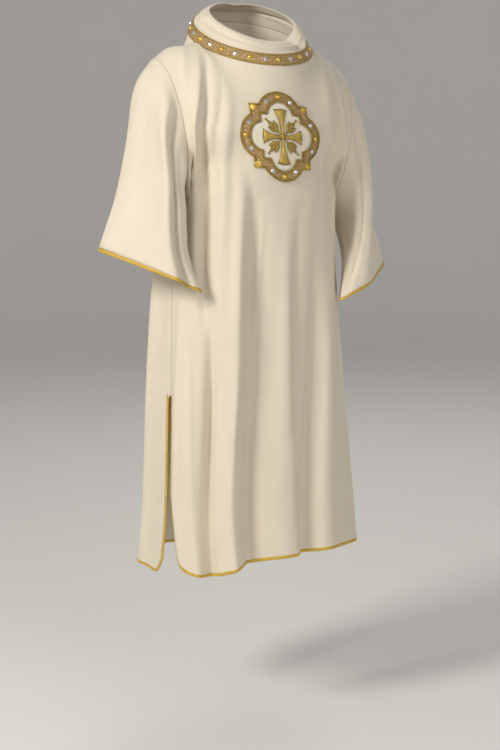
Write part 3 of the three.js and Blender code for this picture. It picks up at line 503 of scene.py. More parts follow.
def sheet_faces(tall, wide, closed):
    """The faces of a wall between an outer and an inner grid, with its rims."""
    def at(face, j, i):
        return face * tall * wide + j * wide + i % wide
    faces = []
    across = wide if closed else wide - 1
    for j in range(tall - 1):
        for i in range(across):
            faces.append((at(0, j, i), at(0, j + 1, i), at(0, j + 1, i + 1), at(0, j, i + 1)))
            faces.append((at(1, j, i), at(1, j, i + 1), at(1, j + 1, i + 1), at(1, j + 1, i)))
    for i in range(across):
        faces.append((at(0, 0, i), at(0, 0, i + 1), at(1, 0, i + 1), at(1, 0, i)))
        faces.append((at(0, tall - 1, i), at(1, tall - 1, i),
                      at(1, tall - 1, i + 1), at(0, tall - 1, i + 1)))
    if not closed:
        for j in range(tall - 1):
            faces.append((at(0, j, 0), at(1, j, 0), at(1, j + 1, 0), at(0, j + 1, 0)))
            faces.append((at(0, j, wide - 1), at(0, j + 1, wide - 1), at(1, j + 1, wide - 1),
                          at(1, j, wide - 1)))
    return faces


def grid_uvs(grid):
    """Distances along the rows and down the columns of a grid, from its middle column."""
    wide = grid.shape[1]
    middle = wide // 2
    steps = np.linalg.norm(np.diff(grid, axis=1), axis=-1)
    u = np.concatenate([np.zeros((len(grid), 1)), np.cumsum(steps, axis=1)], axis=1)
    u = u - u[:, middle:middle + 1]
    drops = np.linalg.norm(np.diff(grid[:, middle], axis=0), axis=-1)
    v = np.concatenate([[0], np.cumsum(drops)])[:, None] + np.zeros_like(u)
    return np.stack([u, v], -1).reshape(-1, 2)


def wall(name, outer, inner, closed):
    """A piece with an outer and an inner face."""
    tall, wide = outer.shape[:2]
    points = np.concatenate([outer.reshape(-1, 3), inner.reshape(-1, 3)])
    uvs = np.tile(grid_uvs(outer), (2, 1))
    return new_piece(name, points, sheet_faces(tall, wide, closed), uvs)


def roll(name, path, inward, ways, wide, thick, closed, sides=10):
    """A rolled strip along a path: an oval section wide across and thick through."""
    turns = np.linspace(0, 2 * math.pi, sides, endpoint=False)
    rings = (path[:, None] + inward[:, None] * (np.cos(turns) * wide / 2)[None, :, None]
             + ways[:, None] * (np.sin(turns) * thick / 2)[None, :, None])
    count = len(path)
    faces = []
    for j in range(count if closed else count - 1):
        k = (j + 1) % count
        for i in range(sides):
            n = (i + 1) % sides
            faces.append((j * sides + i, k * sides + i, k * sides + n, j * sides + n))
    if not closed:
        faces.append(tuple(range(sides)))
        faces.append(tuple(reversed(range((count - 1) * sides, count * sides))))
    run = np.concatenate([[0], np.cumsum(np.linalg.norm(np.diff(path, axis=0), axis=-1))])
    uvs = np.stack([np.repeat(run, sides), np.tile(turns * wide / 2, count)], -1)
    return new_piece(name, rings.reshape(-1, 3), faces, uvs)


# ------------------------------------------------------------------------------ shader groups
def group_tree(name, inputs, outputs):
    tree = bpy.data.node_groups.new(name, "ShaderNodeTree")
    for label, kind, default in inputs:
        socket = tree.interface.new_socket(name=label, in_out="INPUT", socket_type=kind)
        if default is not None:
            socket.default_value = default
    for label, kind in outputs:
        tree.interface.new_socket(name=label, in_out="OUTPUT", socket_type=kind)
    return tree, tree.nodes.new("NodeGroupInput"), tree.nodes.new("NodeGroupOutput")


def put(tree, kind, **settings):
    """A node whose settings are its own properties, and whose sockets are filled by inputs={...}."""
    node = tree.nodes.new(kind)
    links = settings.pop("inputs", {})
    for key, value in settings.items():
        setattr(node, key, value)
    for key, value in links.items():
        if isinstance(value, bpy.types.NodeSocket):
            tree.links.new(value, node.inputs[key])
        else:
            node.inputs[key].default_value = value
    return node


def math_node(tree, operation, a, b=0.0, c=0.0):
    node = put(tree, "ShaderNodeMath", operation=operation, inputs={0: a, 1: b, 2: c})
    return node.outputs[0]


def weave_group():
    """Crossing threads with slubs. Gives the cloth's height, and a light value from it that is low in the
    hollows between threads, for painted shade there.
    """
    tree, start, end = group_tree("Weave", [
        ("Place", "NodeSocketVector", None),
        ("Thread", "NodeSocketFloat", 0.0009),
        ("Twill", "NodeSocketFloat", 0.0),
        ("Slub", "NodeSocketFloat", 0.5),
    ], [("Height", "NodeSocketFloat"), ("Light", "NodeSocketFloat")])
    scale = math_node(tree, "DIVIDE", math.pi, start.outputs["Thread"])
    place = put(tree, "ShaderNodeVectorMath", operation="SCALE",
                inputs={0: start.outputs["Place"], "Scale": scale})
    axes = put(tree, "ShaderNodeSeparateXYZ", inputs={0: place.outputs[0]})
    lean = math_node(tree, "MULTIPLY", axes.outputs[1], start.outputs["Twill"])
    warp = math_node(tree, "SINE", math_node(tree, "ADD", axes.outputs[0], lean))
    weft = math_node(tree, "SINE", axes.outputs[1])
    threads = math_node(tree, "MULTIPLY_ADD", math_node(tree, "MULTIPLY", warp, weft), 0.5, 0.5)
    long_way = put(tree, "ShaderNodeVectorMath", operation="MULTIPLY",
                   inputs={0: start.outputs["Place"], 1: (900.0, 90.0, 900.0)})
    slub = put(tree, "ShaderNodeTexNoise", inputs={"Vector": long_way.outputs[0], "Scale": 1.0,
                                                   "Detail": 3.0, "Roughness": 0.6})
    raised = math_node(tree, "MULTIPLY", slub.outputs[0], start.outputs["Slub"])
    height = math_node(tree, "ADD", threads, raised)
    # The light value is the thread height, so the hollows between threads get painted shade.
    light = math_node(tree, "MULTIPLY_ADD", height, 0.5, 0.25)
    tree.links.new(height, end.inputs["Height"])
    tree.links.new(light, end.inputs["Light"])
    return tree


def mottle_group():
    """Soft uneven patches between two colours, as where cloth or metal has aged; where a bump follows the
    same patches, as on the satin, the darker ones are painted shade.
    """
    tree, start, end = group_tree("Mottle", [
        ("Place", "NodeSocketVector", None),
        ("Size", "NodeSocketFloat", 0.05),
        ("Contrast", "NodeSocketFloat", 1.0),
        ("Low", "NodeSocketColor", (0.5, 0.5, 0.5, 1)),
        ("High", "NodeSocketColor", (1, 1, 1, 1)),
    ], [("Color", "NodeSocketColor"), ("Mask", "NodeSocketFloat")])
    scale = math_node(tree, "DIVIDE", 1.0, start.outputs["Size"])
    noise = put(tree, "ShaderNodeTexNoise", inputs={"Vector": start.outputs["Place"], "Scale": scale,
                                                    "Detail": 4.0, "Roughness": 0.55})
    centred = math_node(tree, "SUBTRACT", noise.outputs[0], 0.5)
    spread = math_node(tree, "MULTIPLY_ADD", centred, start.outputs["Contrast"], 0.5)
    mask = put(tree, "ShaderNodeClamp", inputs={0: spread})
    blend = put(tree, "ShaderNodeMix", data_type="RGBA", inputs={0: mask.outputs[0],
                6: start.outputs["Low"], 7: start.outputs["High"]})
    tree.links.new(blend.outputs[2], end.inputs["Color"])
    tree.links.new(mask.outputs[0], end.inputs["Mask"])
    return tree


def new_material(name):
    material = bpy.data.materials.new(name)
    material.use_nodes = True
    tree = material.node_tree
    return material, tree, tree.nodes["Principled BSDF"]


def use_group(tree, group, **inputs):
    return put(tree, "ShaderNodeGroup", node_tree=bpy.data.node_groups[group], inputs=inputs)


def tinted(tree, place, color, share, **settings):
    """Patches between a colour and a darker share of it."""
    low = tuple(c * share for c in color)
    return use_group(tree, "Mottle", Place=place, Low=(*low, 1), High=(*color, 1), **settings)


def bump(tree, shader, height, depth, strength=1.0):
    node = put(tree, "ShaderNodeBump", inputs={"Strength": strength, "Distance": depth, "Height": height})
    tree.links.new(node.outputs[0], shader.inputs["Normal"])


def shaded(tree, color, light, dark):
    """A colour, darker where the light value is low."""
    low = put(tree, "ShaderNodeMix", data_type="RGBA", blend_type="MULTIPLY",
              inputs={0: 1.0, 6: color, 7: (dark, dark, dark * 0.96, 1)})
    blend = put(tree, "ShaderNodeMix", data_type="RGBA",
                inputs={0: light, 6: low.outputs[2], 7: color})
    return blend.outputs[2]


def cloth_place(tree):
    return put(tree, "ShaderNodeUVMap", uv_map="cloth").outputs[0]


def object_place(tree):
    return put(tree, "ShaderNodeTexCoord").outputs["Object"]


def wool_material(sizes):
    material, tree, shader = new_material("ivory_wool")
    place = cloth_place(tree)
    tint = tinted(tree, place, sizes.wool, 0.93, Size=0.11, Contrast=1.4)
    weave = use_group(tree, "Weave", Place=place, Thread=0.0011, Twill=1.0, Slub=0.7)
    # Painted shade: the wool is darker in the hollows between its threads.
    color = shaded(tree, tint.outputs[0], weave.outputs["Light"], 0.9)
    tree.links.new(color, shader.inputs["Base Color"])
    grain = use_group(tree, "Mottle", Place=place, Size=0.012, Contrast=1.0)
    total = math_node(tree, "MULTIPLY_ADD", grain.outputs["Mask"], 1.2, weave.outputs["Height"])
    bump(tree, shader, total, 0.00022, 0.55)
    rough = math_node(tree, "MULTIPLY_ADD", tint.outputs["Mask"], 0.08, 0.84)
    tree.links.new(rough, shader.inputs["Roughness"])
    shader.inputs["Sheen Weight"].default_value = 0.22
    shader.inputs["Sheen Roughness"].default_value = 0.45
    shader.inputs["Sheen Tint"].default_value = (1.0, 0.97, 0.9, 1)
    shader.inputs["Specular IOR Level"].default_value = 0.25
    return material


def satin_material(sizes):
    material, tree, shader = new_material("gold_satin")
    place = cloth_place(tree)
    # The colour's patches share their mask with the puckers' bump: darker where the puckers sink, painted
    # shade in their hollows.
    tint = tinted(tree, place, sizes.satin, 0.72, Size=0.018, Contrast=2.4)
    weave = use_group(tree, "Weave", Place=place, Thread=0.0006, Twill=2.0, Slub=0.5)
    # Painted shade in the hollows between the satin's threads.
    color = shaded(tree, tint.outputs[0], weave.outputs["Light"], 0.8)
    tree.links.new(color, shader.inputs["Base Color"])
    pucker = math_node(tree, "MULTIPLY_ADD", tint.outputs["Mask"], 5.0, weave.outputs["Height"])
    bump(tree, shader, pucker, 0.0002, 0.7)
    rough = math_node(tree, "MULTIPLY_ADD", tint.outputs["Mask"], -0.1, 0.46)
    tree.links.new(rough, shader.inputs["Roughness"])
    shader.inputs["Sheen Weight"].default_value = 0.3
    shader.inputs["Sheen Tint"].default_value = (1.0, 0.86, 0.4, 1)
    return material


def brocade_material(sizes):
    """Copper and gold metal thread in small scrolls on an olive gold ground."""
    material, tree, shader = new_material("metal_brocade")
    place = cloth_place(tree)
    warp = use_group(tree, "Mottle", Place=place, Size=0.006, Contrast=1.0)
    bend = put(tree, "ShaderNodeVectorMath", operation="MULTIPLY_ADD",
               inputs={0: warp.outputs[0], 1: (0.004, 0.004, 0.0), 2: place})
    cells = put(tree, "ShaderNodeTexVoronoi", feature="DISTANCE_TO_EDGE",
                inputs={"Vector": bend.outputs[0], "Scale": 150.0})
    lines = put(tree, "ShaderNodeMapRange", inputs={0: cells.outputs[0], 1: 0.02, 2: 0.22})
    patches = use_group(tree, "Mottle", Place=place, Size=0.0055, Contrast=4.5,
                        Low=(*sizes.brocade_gold, 1), High=(*sizes.brocade_copper, 1))
    dark = tuple(c * 0.62 for c in sizes.brocade_gold)
    ground = put(tree, "ShaderNodeMix", data_type="RGBA",
                 inputs={0: lines.outputs[0], 6: (*dark, 1), 7: patches.outputs[0]})
    weave = use_group(tree, "Weave", Place=place, Thread=0.0007, Twill=0.0, Slub=0.5)
    # Painted shade in the hollows between the brocade's threads.
    color = shaded(tree, ground.outputs[2], weave.outputs["Light"], 0.7)
    tree.links.new(color, shader.inputs["Base Color"])
    raised = math_node(tree, "MULTIPLY_ADD", lines.outputs[0], 2.5, weave.outputs["Height"])
    bump(tree, shader, raised, 0.0004, 0.8)
    metal = math_node(tree, "MULTIPLY_ADD", patches.outputs["Mask"], 0.3, 0.25)
    tree.links.new(metal, shader.inputs["Metallic"])
    rough = math_node(tree, "MULTIPLY_ADD", weave.outputs["Light"], -0.12, 0.52)
    tree.links.new(rough, shader.inputs["Roughness"])
    return material


def field_material(sizes):
    """The medallion's ground: fine diagonal ribs in ivory silk."""
    material, tree, shader = new_material("ribbed_silk")
    place = cloth_place(tree)
    tint = tinted(tree, place, sizes.field, 0.93, Size=0.02, Contrast=1.6)
    weave = use_group(tree, "Weave", Place=place, Thread=0.0016, Twill=1.0, Slub=0.3)
    # Painted shade in the hollows between the ribs.
    color = shaded(tree, tint.outputs[0], weave.outputs["Light"], 0.86)
    tree.links.new(color, shader.inputs["Base Color"])
    bump(tree, shader, weave.outputs["Height"], 0.0005, 0.8)
    shader.inputs["Roughness"].default_value = 0.6
    shader.inputs["Sheen Weight"].default_value = 0.3
    return material


def thread_material(sizes, name="satin_stitch", darker=1.0):
    """Padded satin stitch in metal thread: close parallel threads over the padding."""
    material, tree, shader = new_material(name)
    place = cloth_place(tree)
    axes = put(tree, "ShaderNodeSeparateXYZ", inputs={0: place})
    wobble = use_group(tree, "Mottle", Place=place, Size=0.006, Contrast=1.0)
    turns = math_node(tree, "MULTIPLY_ADD", axes.outputs[0], 5200.0,
                      math_node(tree, "MULTIPLY", wobble.outputs["Mask"], 2.0))
    threads = math_node(tree, "MULTIPLY_ADD", math_node(tree, "SINE", turns), 0.5, 0.5)
    gold = tuple(c * darker for c in sizes.thread)
    tint = tinted(tree, object_place(tree), gold, 0.45, Size=0.009, Contrast=2.2)
    # Painted shade: darker in the grooves between the threads, on the same stripes as the bump.
    color = shaded(tree, tint.outputs[0], threads, 0.55)
    tree.links.new(color, shader.inputs["Base Color"])
    bump(tree, shader, threads, 0.0003, 0.8)
    shader.inputs["Metallic"].default_value = 0.25
    rough = math_node(tree, "MULTIPLY_ADD", tint.outputs["Mask"], -0.12, 0.48)
    tree.links.new(rough, shader.inputs["Roughness"])
    return material


def metal_material(name, color, dark, roughness, metallic):
    """Cast metal, darker in random patches."""
    material, tree, shader = new_material(name)
    place = object_place(tree)
    tint = use_group(tree, "Mottle", Place=place, Size=0.004, Contrast=2.0,
                     Low=(*dark, 1), High=(*color, 1))
    tree.links.new(tint.outputs[0], shader.inputs["Base Color"])
    fine = use_group(tree, "Mottle", Place=place, Size=0.0012, Contrast=1.0)
    bump(tree, shader, fine.outputs["Mask"], 0.0002, 0.35)
    rough = math_node(tree, "MULTIPLY_ADD", tint.outputs["Mask"], -0.1, roughness)
    tree.links.new(rough, shader.inputs["Roughness"])
    shader.inputs["Metallic"].default_value = metallic
    return material


def stage_material():
    material, tree, shader = new_material("stage_paper")
    place = object_place(tree)
    tint = use_group(tree, "Mottle", Place=place, Size=1.5, Contrast=0.8,
                     Low=(0.80, 0.79, 0.775, 1), High=(0.84, 0.83, 0.815, 1))
    tree.links.new(tint.outputs[0], shader.inputs["Base Color"])
    shader.inputs["Roughness"].default_value = 0.9
    return material


def make_materials(sizes):
    """Builds each finish once and keeps it by name."""
    if "Weave" not in bpy.data.node_groups:
        weave_group()
        mottle_group()
        wool_material(sizes)
        satin_material(sizes)
        brocade_material(sizes)
        field_material(sizes)
        thread_material(sizes)
        thread_material(sizes, "edge_cord", 0.95)
        thread_material(sizes, "couching", 0.42)
        metal_material("gold_metal", (0.92, 0.66, 0.14), (0.55, 0.33, 0.05), 0.4, 0.75)
        metal_material("silver_metal", (0.86, 0.86, 0.87), (0.5, 0.5, 0.51), 0.3, 0.8)
        thread_material(sizes, "sewing_thread", 1.0)


def finish(piece, material, slot, *nodes):
    """Gives a piece its material and hangs it under the root, hiding the model's parts that it stands for.
    """
    piece.data.materials.clear()
    piece.data.materials.append(bpy.data.materials[material])
    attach(piece, "root")
    if nodes:
        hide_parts(*nodes)


# ------------------------------------------------------------------------------ geometry node trees
def geometry_tree(name, inputs):
    tree = bpy.data.node_groups.new(name, "GeometryNodeTree")
    tree.interface.new_socket(name="Geometry", in_out="INPUT", socket_type="NodeSocketGeometry")
    tree.interface.new_socket(name="Geometry", in_out="OUTPUT", socket_type="NodeSocketGeometry")
    for label, kind, default in inputs:
        socket = tree.interface.new_socket(name=label, in_out="INPUT", socket_type=kind)
        if default is not None:
            socket.default_value = default
    return tree, tree.nodes.new("NodeGroupInput"), tree.nodes.new("NodeGroupOutput")


def named_vector(tree, name):
    return put(tree, "GeometryNodeInputNamedAttribute", data_type="FLOAT_VECTOR",
               inputs={"Name": name}).outputs[0]


def finish_tree(tree, start, end, geometry, smooth):
    real = put(tree, "GeometryNodeRealizeInstances", inputs={0: geometry})
    shade = put(tree, "GeometryNodeSetShadeSmooth", inputs={0: real.outputs[0], "Shade Smooth": smooth})
    coat = put(tree, "GeometryNodeSetMaterial",
               inputs={0: shade.outputs[0], "Material": start.outputs["Material"]})
    tree.links.new(coat.outputs[0], end.inputs[0])


def beads_tree():
    """Long beads along a path, each turned a little from it: stitches, or the lay of a twisted cord."""
    tree, start, end = geometry_tree("Beads", [
        ("Pitch", "NodeSocketFloat", 0.004),
        ("Length", "NodeSocketFloat", 0.003),
        ("Width", "NodeSocketFloat", 0.001),
        ("Turn", "NodeSocketFloat", 0.0),
        ("Material", "NodeSocketMaterial", None),
    ])
    curve = put(tree, "GeometryNodeMeshToCurve", inputs={0: start.outputs[0]})
    spaced = put(tree, "GeometryNodeCurveToPoints", mode="LENGTH",
                 inputs={0: curve.outputs[0], "Length": start.outputs["Pitch"]})
    along = put(tree, "FunctionNodeAlignRotationToVector", axis="X",
                inputs={"Vector": spaced.outputs["Tangent"]})
    upright = put(tree, "FunctionNodeAlignRotationToVector", axis="Z", pivot_axis="X",
                  inputs={"Rotation": along.outputs[0], "Vector": named_vector(tree, "facing")})
    angles = put(tree, "ShaderNodeCombineXYZ", inputs={2: start.outputs["Turn"]})
    quarter = put(tree, "FunctionNodeEulerToRotation", inputs={0: angles.outputs[0]})
    turned = put(tree, "FunctionNodeRotateRotation", rotation_space="LOCAL",
                 inputs={0: upright.outputs[0], 1: quarter.outputs[0]})
    bead = put(tree, "GeometryNodeMeshUVSphere", inputs={"Segments": 7, "Rings": 5, "Radius": 0.5})
    size = put(tree, "ShaderNodeCombineXYZ", inputs={0: start.outputs["Length"],
               1: start.outputs["Width"], 2: start.outputs["Width"]})
    placed = put(tree, "GeometryNodeInstanceOnPoints",
                 inputs={"Points": spaced.outputs["Points"], "Instance": bead.outputs[0],
                         "Rotation": turned.outputs[0], "Scale": size.outputs[0]})
    finish_tree(tree, start, end, placed.outputs[0], True)
    return tree


def studs_tree():
    """A stud in its cup at every point, facing out: many sides and rings make a dome, few a facet cut."""
    tree, start, end = geometry_tree("Studs", [
        ("Width", "NodeSocketFloat", 0.008),
        ("Height", "NodeSocketFloat", 0.003),
        ("Sides", "NodeSocketInt", 16),
        ("Rings", "NodeSocketInt", 8),
        ("Smooth", "NodeSocketBool", True),
        ("Material", "NodeSocketMaterial", None),
    ])
    ball = put(tree, "GeometryNodeMeshUVSphere", inputs={"Segments": start.outputs["Sides"],
               "Rings": start.outputs["Rings"], "Radius": 0.5})
    cup = put(tree, "GeometryNodeMeshUVSphere", inputs={"Segments": 16, "Rings": 6, "Radius": 0.5})
    low = put(tree, "GeometryNodeTransform", inputs={0: cup.outputs[0], "Scale": (1.22, 1.22, 0.5)})
    both = put(tree, "GeometryNodeJoinGeometry")
    tree.links.new(low.outputs[0], both.inputs[0])
    tree.links.new(ball.outputs[0], both.inputs[0])
    spot = put(tree, "GeometryNodeInputPosition")
    flat = put(tree, "ShaderNodeVectorMath", operation="MAXIMUM",
               inputs={0: spot.outputs[0], 1: (-9.0, -9.0, -0.06)})
    seated = put(tree, "GeometryNodeSetPosition", inputs={0: both.outputs[0], "Position": flat.outputs[0]})
    out = put(tree, "FunctionNodeAlignRotationToVector", axis="Z",
              inputs={"Vector": named_vector(tree, "facing")})
    square = put(tree, "FunctionNodeAlignRotationToVector", axis="X", pivot_axis="Z",
                 inputs={"Rotation": out.outputs[0], "Vector": named_vector(tree, "side")})
    double = math_node(tree, "MULTIPLY", start.outputs["Height"], 2.0)
    size = put(tree, "ShaderNodeCombineXYZ", inputs={0: start.outputs["Width"],
               1: start.outputs["Width"], 2: double})
    placed = put(tree, "GeometryNodeInstanceOnPoints",
                 inputs={"Points": start.outputs[0], "Instance": seated.outputs[0],
                         "Rotation": square.outputs[0], "Scale": size.outputs[0]})
    finish_tree(tree, start, end, placed.outputs[0], start.outputs["Smooth"])
    return tree


def path_object(name, paths, ways, closed, sides=None):
    """Paths or points in millimetres with the directions that they face, for a tree to work on."""
    points = np.concatenate(paths)
    edges, first = [], 0
    for path in paths:
        count = len(path)
        if closed is not None:
            last = count if closed else count - 1
            edges += [(first + k, first + (k + 1) % count) for k in range(last)]
        first += count
    mesh = bpy.data.meshes.new(name)
    mesh.from_pydata((points * MM).tolist(), edges, [])
    vectors = {"facing": np.concatenate(ways)}
    if sides is not None:
        vectors["side"] = np.concatenate(sides)
    for label, values in vectors.items():
        layer = mesh.attributes.new(label, "FLOAT_VECTOR", "POINT")
        layer.data.foreach_set("vector", values.ravel())
    return new_object(name, mesh)


def grow(piece, tree_name, **values):
    """Runs a tree on an object and leaves the plain mesh that it makes."""
    tree = bpy.data.node_groups.get(tree_name) or {"Beads": beads_tree, "Studs": studs_tree}[tree_name]()
    modifier = piece.modifiers.new("grow", "NODES")
    modifier.node_group = tree
    for item in tree.interface.items_tree:
        if item.item_type == "SOCKET" and item.in_out == "INPUT" and item.name in values:
            modifier[item.identifier] = values[item.name]
    bpy.context.view_layer.update()
    graph = bpy.context.evaluated_depsgraph_get()
    mesh = bpy.data.meshes.new_from_object(piece.evaluated_get(graph))
    piece.modifiers.clear()
    if len(mesh.polygons) == 0:
        raise RuntimeError(f"{piece.name} came out empty")
    for layer in list(mesh.uv_layers):
        mesh.uv_layers.remove(layer)
    set_uvs(mesh, point_places(mesh)[:, [0, 2]])
    piece.data = mesh


# ------------------------------------------------------------------------------ the cloth pieces
def hem_away(above):
    return 3 - above / BODY_LENGTH


def drawn_in(across, inset):
    return across * (1 - inset * ease(np.abs(across), 0.5, 1))


def edge_inset(down, strip):
    """How far a panel's edge stands in beside the slit, as a share of half its width."""
    above = (3 - down) * BODY_LENGTH
    radius = SLIT_CORNER - strip
    corner = SLIT_CORNER - np.sqrt(np.maximum(radius ** 2 - (SLIT_CORNER - above) ** 2, 0))
    inset = np.where(above >= SLIT_CORNER, strip, corner) / HALF_ROUND
    return np.where(down <= SLIT_DOWN, 0, inset)


def panel_grid(facing, wide, tall):
    """The outer face of a panel and the directions that it faces."""
    strip = BINDING - 2
    turns = np.linspace(0, QUARTER, 12)[1:]
    rows = np.concatenate([
        np.linspace(0, 2, tall)[:-1],
        np.linspace(2, SLIT_DOWN, tall // 4)[:-1],
        np.linspace(SLIT_DOWN, hem_away(SLIT_CORNER), tall // 4),
        hem_away(SLIT_CORNER - (SLIT_CORNER - strip) * np.sin(turns)),
    ])
    columns = np.linspace(-1, 1, wide)
    down, across = np.meshgrid(rows, columns, indexing="ij")
    across = drawn_in(across, edge_inset(down, strip))
    grid = panel_point(facing, across.ravel(), down.ravel()).reshape(*down.shape, 3)
    return grid, grid_ways(grid, False, facing)


def build_panel(name, facing, sizes):
    grid, ways = panel_grid(facing, sizes.columns, sizes.rows)
    piece = wall(f"{name}_cloth", grid, grid - ways * CLOTH, False)
    finish(piece, "ivory_wool", "wool", name)


def edge_places(inward, spacing):
    """Places round a panel's free edge, from the top of one slit round the hem to the other."""
    radius = SLIT_CORNER - inward
    heights = np.linspace((3 - SLIT_DOWN) * BODY_LENGTH, SLIT_CORNER, int(SLIT_RUN / spacing))
    sides = np.stack([np.full_like(heights, inward), heights], -1)
    turns = np.linspace(0, QUARTER, 10)[1:-1]
    corner = np.stack([SLIT_CORNER - radius * np.cos(turns), SLIT_CORNER - radius * np.sin(turns)], -1)
    across = np.linspace(-1, 1, int(HEM_RUN / spacing))
    along = HALF_ROUND * (1 + drawn_in(across, SLIT_CORNER / HALF_ROUND))
    hem = np.stack([along, np.full_like(across, inward)], -1)
    left = np.concatenate([sides, corner])
    right = left[::-1] * [-1, 1] + [2 * HALF_ROUND, 0]
    places = np.concatenate([left, hem, right])
    return places[:, 0] / HALF_ROUND - 1, hem_away(places[:, 1])


def build_panel_binding(name, facing):
    """The rolled binding on a panel's free edge, and its row of stitches."""
    spots = {k: panel_point(facing, *edge_places(k, 5)) for k in (0.6, BINDING)}
    ways = panel_way(facing, *edge_places(BINDING / 2, 5))
    middle = (spots[0.6] + spots[BINDING]) / 2 - ways * CLOTH / 2
    piece = roll(name, middle, unit(spots[BINDING] - spots[0.6]), ways, BINDING, BINDING_THICK, False)
    stitch_ways = panel_way(facing, *edge_places(BINDING - 1, 5))
    stitches = panel_point(facing, *edge_places(BINDING - 1, 5)) + stitch_ways * 0.7
    return piece, [stitches], [stitch_ways]


def build_sleeve(name, side, sizes):
    around = np.linspace(0, 4, sizes.columns * 4 // 5, endpoint=False)
    shares = np.linspace(0, 1 - (BINDING - 2) / SLEEVE_LENGTH, sizes.rows // 2)
    share, turn = np.meshgrid(shares, around, indexing="ij")
    grid = sleeve_point(side, turn.ravel(), share.ravel()).reshape(*share.shape, 3)
    ways = grid_ways(grid, True, side)
    piece = wall(f"{name}_cloth", grid, grid - ways * CLOTH, True)
    finish(piece, "ivory_wool", "wool", name)


def build_cuff_binding(name, side):
    around = np.linspace(0, 4, 150, endpoint=False)
    outer, inner = (sleeve_point(side, around, np.full_like(around, k))
                    for k in (1, 1 - BINDING / SLEEVE_LENGTH))
    inward = unit(inner - outer)
    over = np.roll(outer, -1, axis=0) - np.roll(outer, 1, axis=0)
    ways = unit(np.cross(over, -inward)) * side
    middle = outer + inward * BINDING / 2 - ways * CLOTH / 2
    piece = roll(name, middle, inward, ways, BINDING, BINDING_THICK, True)
    return piece, [outer + inward * (BINDING - 1) + ways * 0.6], [ways]


def build_collar(sizes):
    """The standing collar, folded over at its rim and hanging a little way down inside."""
    turns = np.linspace(-math.pi, math.pi, 200, endpoint=False)
    levels = np.concatenate([np.linspace(0, 1, 8)[:-1], np.linspace(1, 2, 22)])
    level, turn = np.meshgrid(levels, turns, indexing="ij")
    grid = collar_point(turn.ravel(), level.ravel()).reshape(*level.shape, 3)
    away = np.stack([np.sin(turn), -np.cos(turn), np.zeros_like(turn)], -1)
    share = np.clip(level - 1, 0, 1)
    slump = (2.6 * np.sin(share * 9 + 1.7 * np.sin(turn * 2 + 0.6)) * np.sin(share * math.pi)
             + 1.2 * np.sin(turn * 5 + share * 6) * share * (1 - share) * 4)
    grid = grid + away * slump[..., None]
    rim, below = grid[-1], grid[-3]
    up = unit(rim - below)
    inside = -away[-1]
    radius = 5 + 1.6 * np.sin(turns * 2 + 0.8)
    rolled = []
    for angle in np.linspace(0, math.pi, 12)[1:]:
        rolled.append(rim + inside * (radius * (1 - np.cos(angle)))[:, None]
                      + up * (radius * np.sin(angle))[:, None])
    lip = rolled[-1]
    for drop in np.linspace(3, sizes.turn_down, 8):
        sway = 0.06 * drop + np.sin(turns * 3) * drop * 0.05
        rolled.append(lip - up * drop + inside * sway[:, None])
    grid = np.concatenate([grid, np.array(rolled)])
    ways = grid_ways(grid, True, 1)
    piece = wall("collar_cloth", grid, grid - ways * CLOTH, True)
    finish(piece, "ivory_wool", "wool", "collar")


# ------------------------------------------------------------------------------ the band and its studs
def build_band():
    """The brocade band on the collar's foot, fuller along its middle."""
    turns = np.linspace(-math.pi, math.pi, 208, endpoint=False)
    levels = np.linspace(0.06, 0.98, 9)
    level, turn = np.meshgrid(levels, turns, indexing="ij")
    base = collar_point(turn.ravel(), level.ravel()).reshape(*level.shape, 3)
    ways = grid_ways(base, True, 1)
    full = np.sin(np.linspace(0, math.pi, 9)) ** 0.5
    outer = base + ways * (1.6 + 1.0 * full)[:, None, None]
    piece = wall("collar_band_cloth", outer, base + ways * 0.4, True)
    finish(piece, "metal_brocade", "brocade", "collar_band")
    return [outer[0], outer[-1]], [ways[0], ways[-1]]


def stud_spots(kind):
    """Where the band's studs of one kind sit, a gold one at the middle of the front."""
    turns = np.arange(NECK_STUDS) / NECK_STUDS * 2 * math.pi
    chosen = turns[0::2] if kind == "gold" else turns[1::2]
    step = 0.02
    middle = collar_point(chosen, np.full_like(chosen, 0.52))
    over = collar_point(chosen + step, np.full_like(chosen, 0.52)) - middle
    up = collar_point(chosen, np.full_like(chosen, 0.6)) - middle
    ways = unit(np.cross(over, up))
    ways *= np.sign((ways * middle).sum(-1))[:, None]
    return middle + ways * 2.5, ways, unit(over)


# ------------------------------------------------------------------------------ the medallion
class Chest:
    """The front of the garment, for laying the medallion's pieces on it."""

    def __init__(self):
        piece = bpy.data.objects["front_panel_cloth"]
        self.tree = BVHTree.FromObject(piece, bpy.context.evaluated_depsgraph_get())

    def lay(self, p, q, away):
        """Points at p to the wearer's left and q up from the medallion's middle, and their normals."""
        spots, ways = [], []
        for p1, q1, away1 in zip(*np.broadcast_arrays(p, q, away)):
            x = MEDAL_X + p1 - MEDAL_LEAN * q1
            z = -MEDAL_DROP + q1 - MEDAL_DIP * p1
            spot, way = self.tree.ray_cast(Vector((x * MM, -1, z * MM)), Vector((0, 1, 0)))[:2]
            if spot is None:
                raise RuntimeError("the medallion runs off the chest")
            spots.append(np.array(spot) / MM + np.array(way) * away1)
            ways.append(np.array(way))
        return np.array(spots), np.array(ways)

    def ring(self, reach, turns, away):
        """Points on a ring round the medallion's middle, and their normals."""
        return self.lay(reach * np.cos(turns), reach * np.sin(turns), away)


def quatrefoil(shape, turn):
    lobe, lobe_at, square = shape
    c, s = np.abs(np.cos(turn)), np.abs(np.sin(turn))
    side = lobe_at * np.minimum(c, s)
    round_ = lobe_at * np.maximum(c, s) + np.sqrt(np.maximum(lobe ** 2 - side ** 2, 0))
    return np.maximum(np.where(side < lobe, round_, 0), square / np.maximum(c, s))


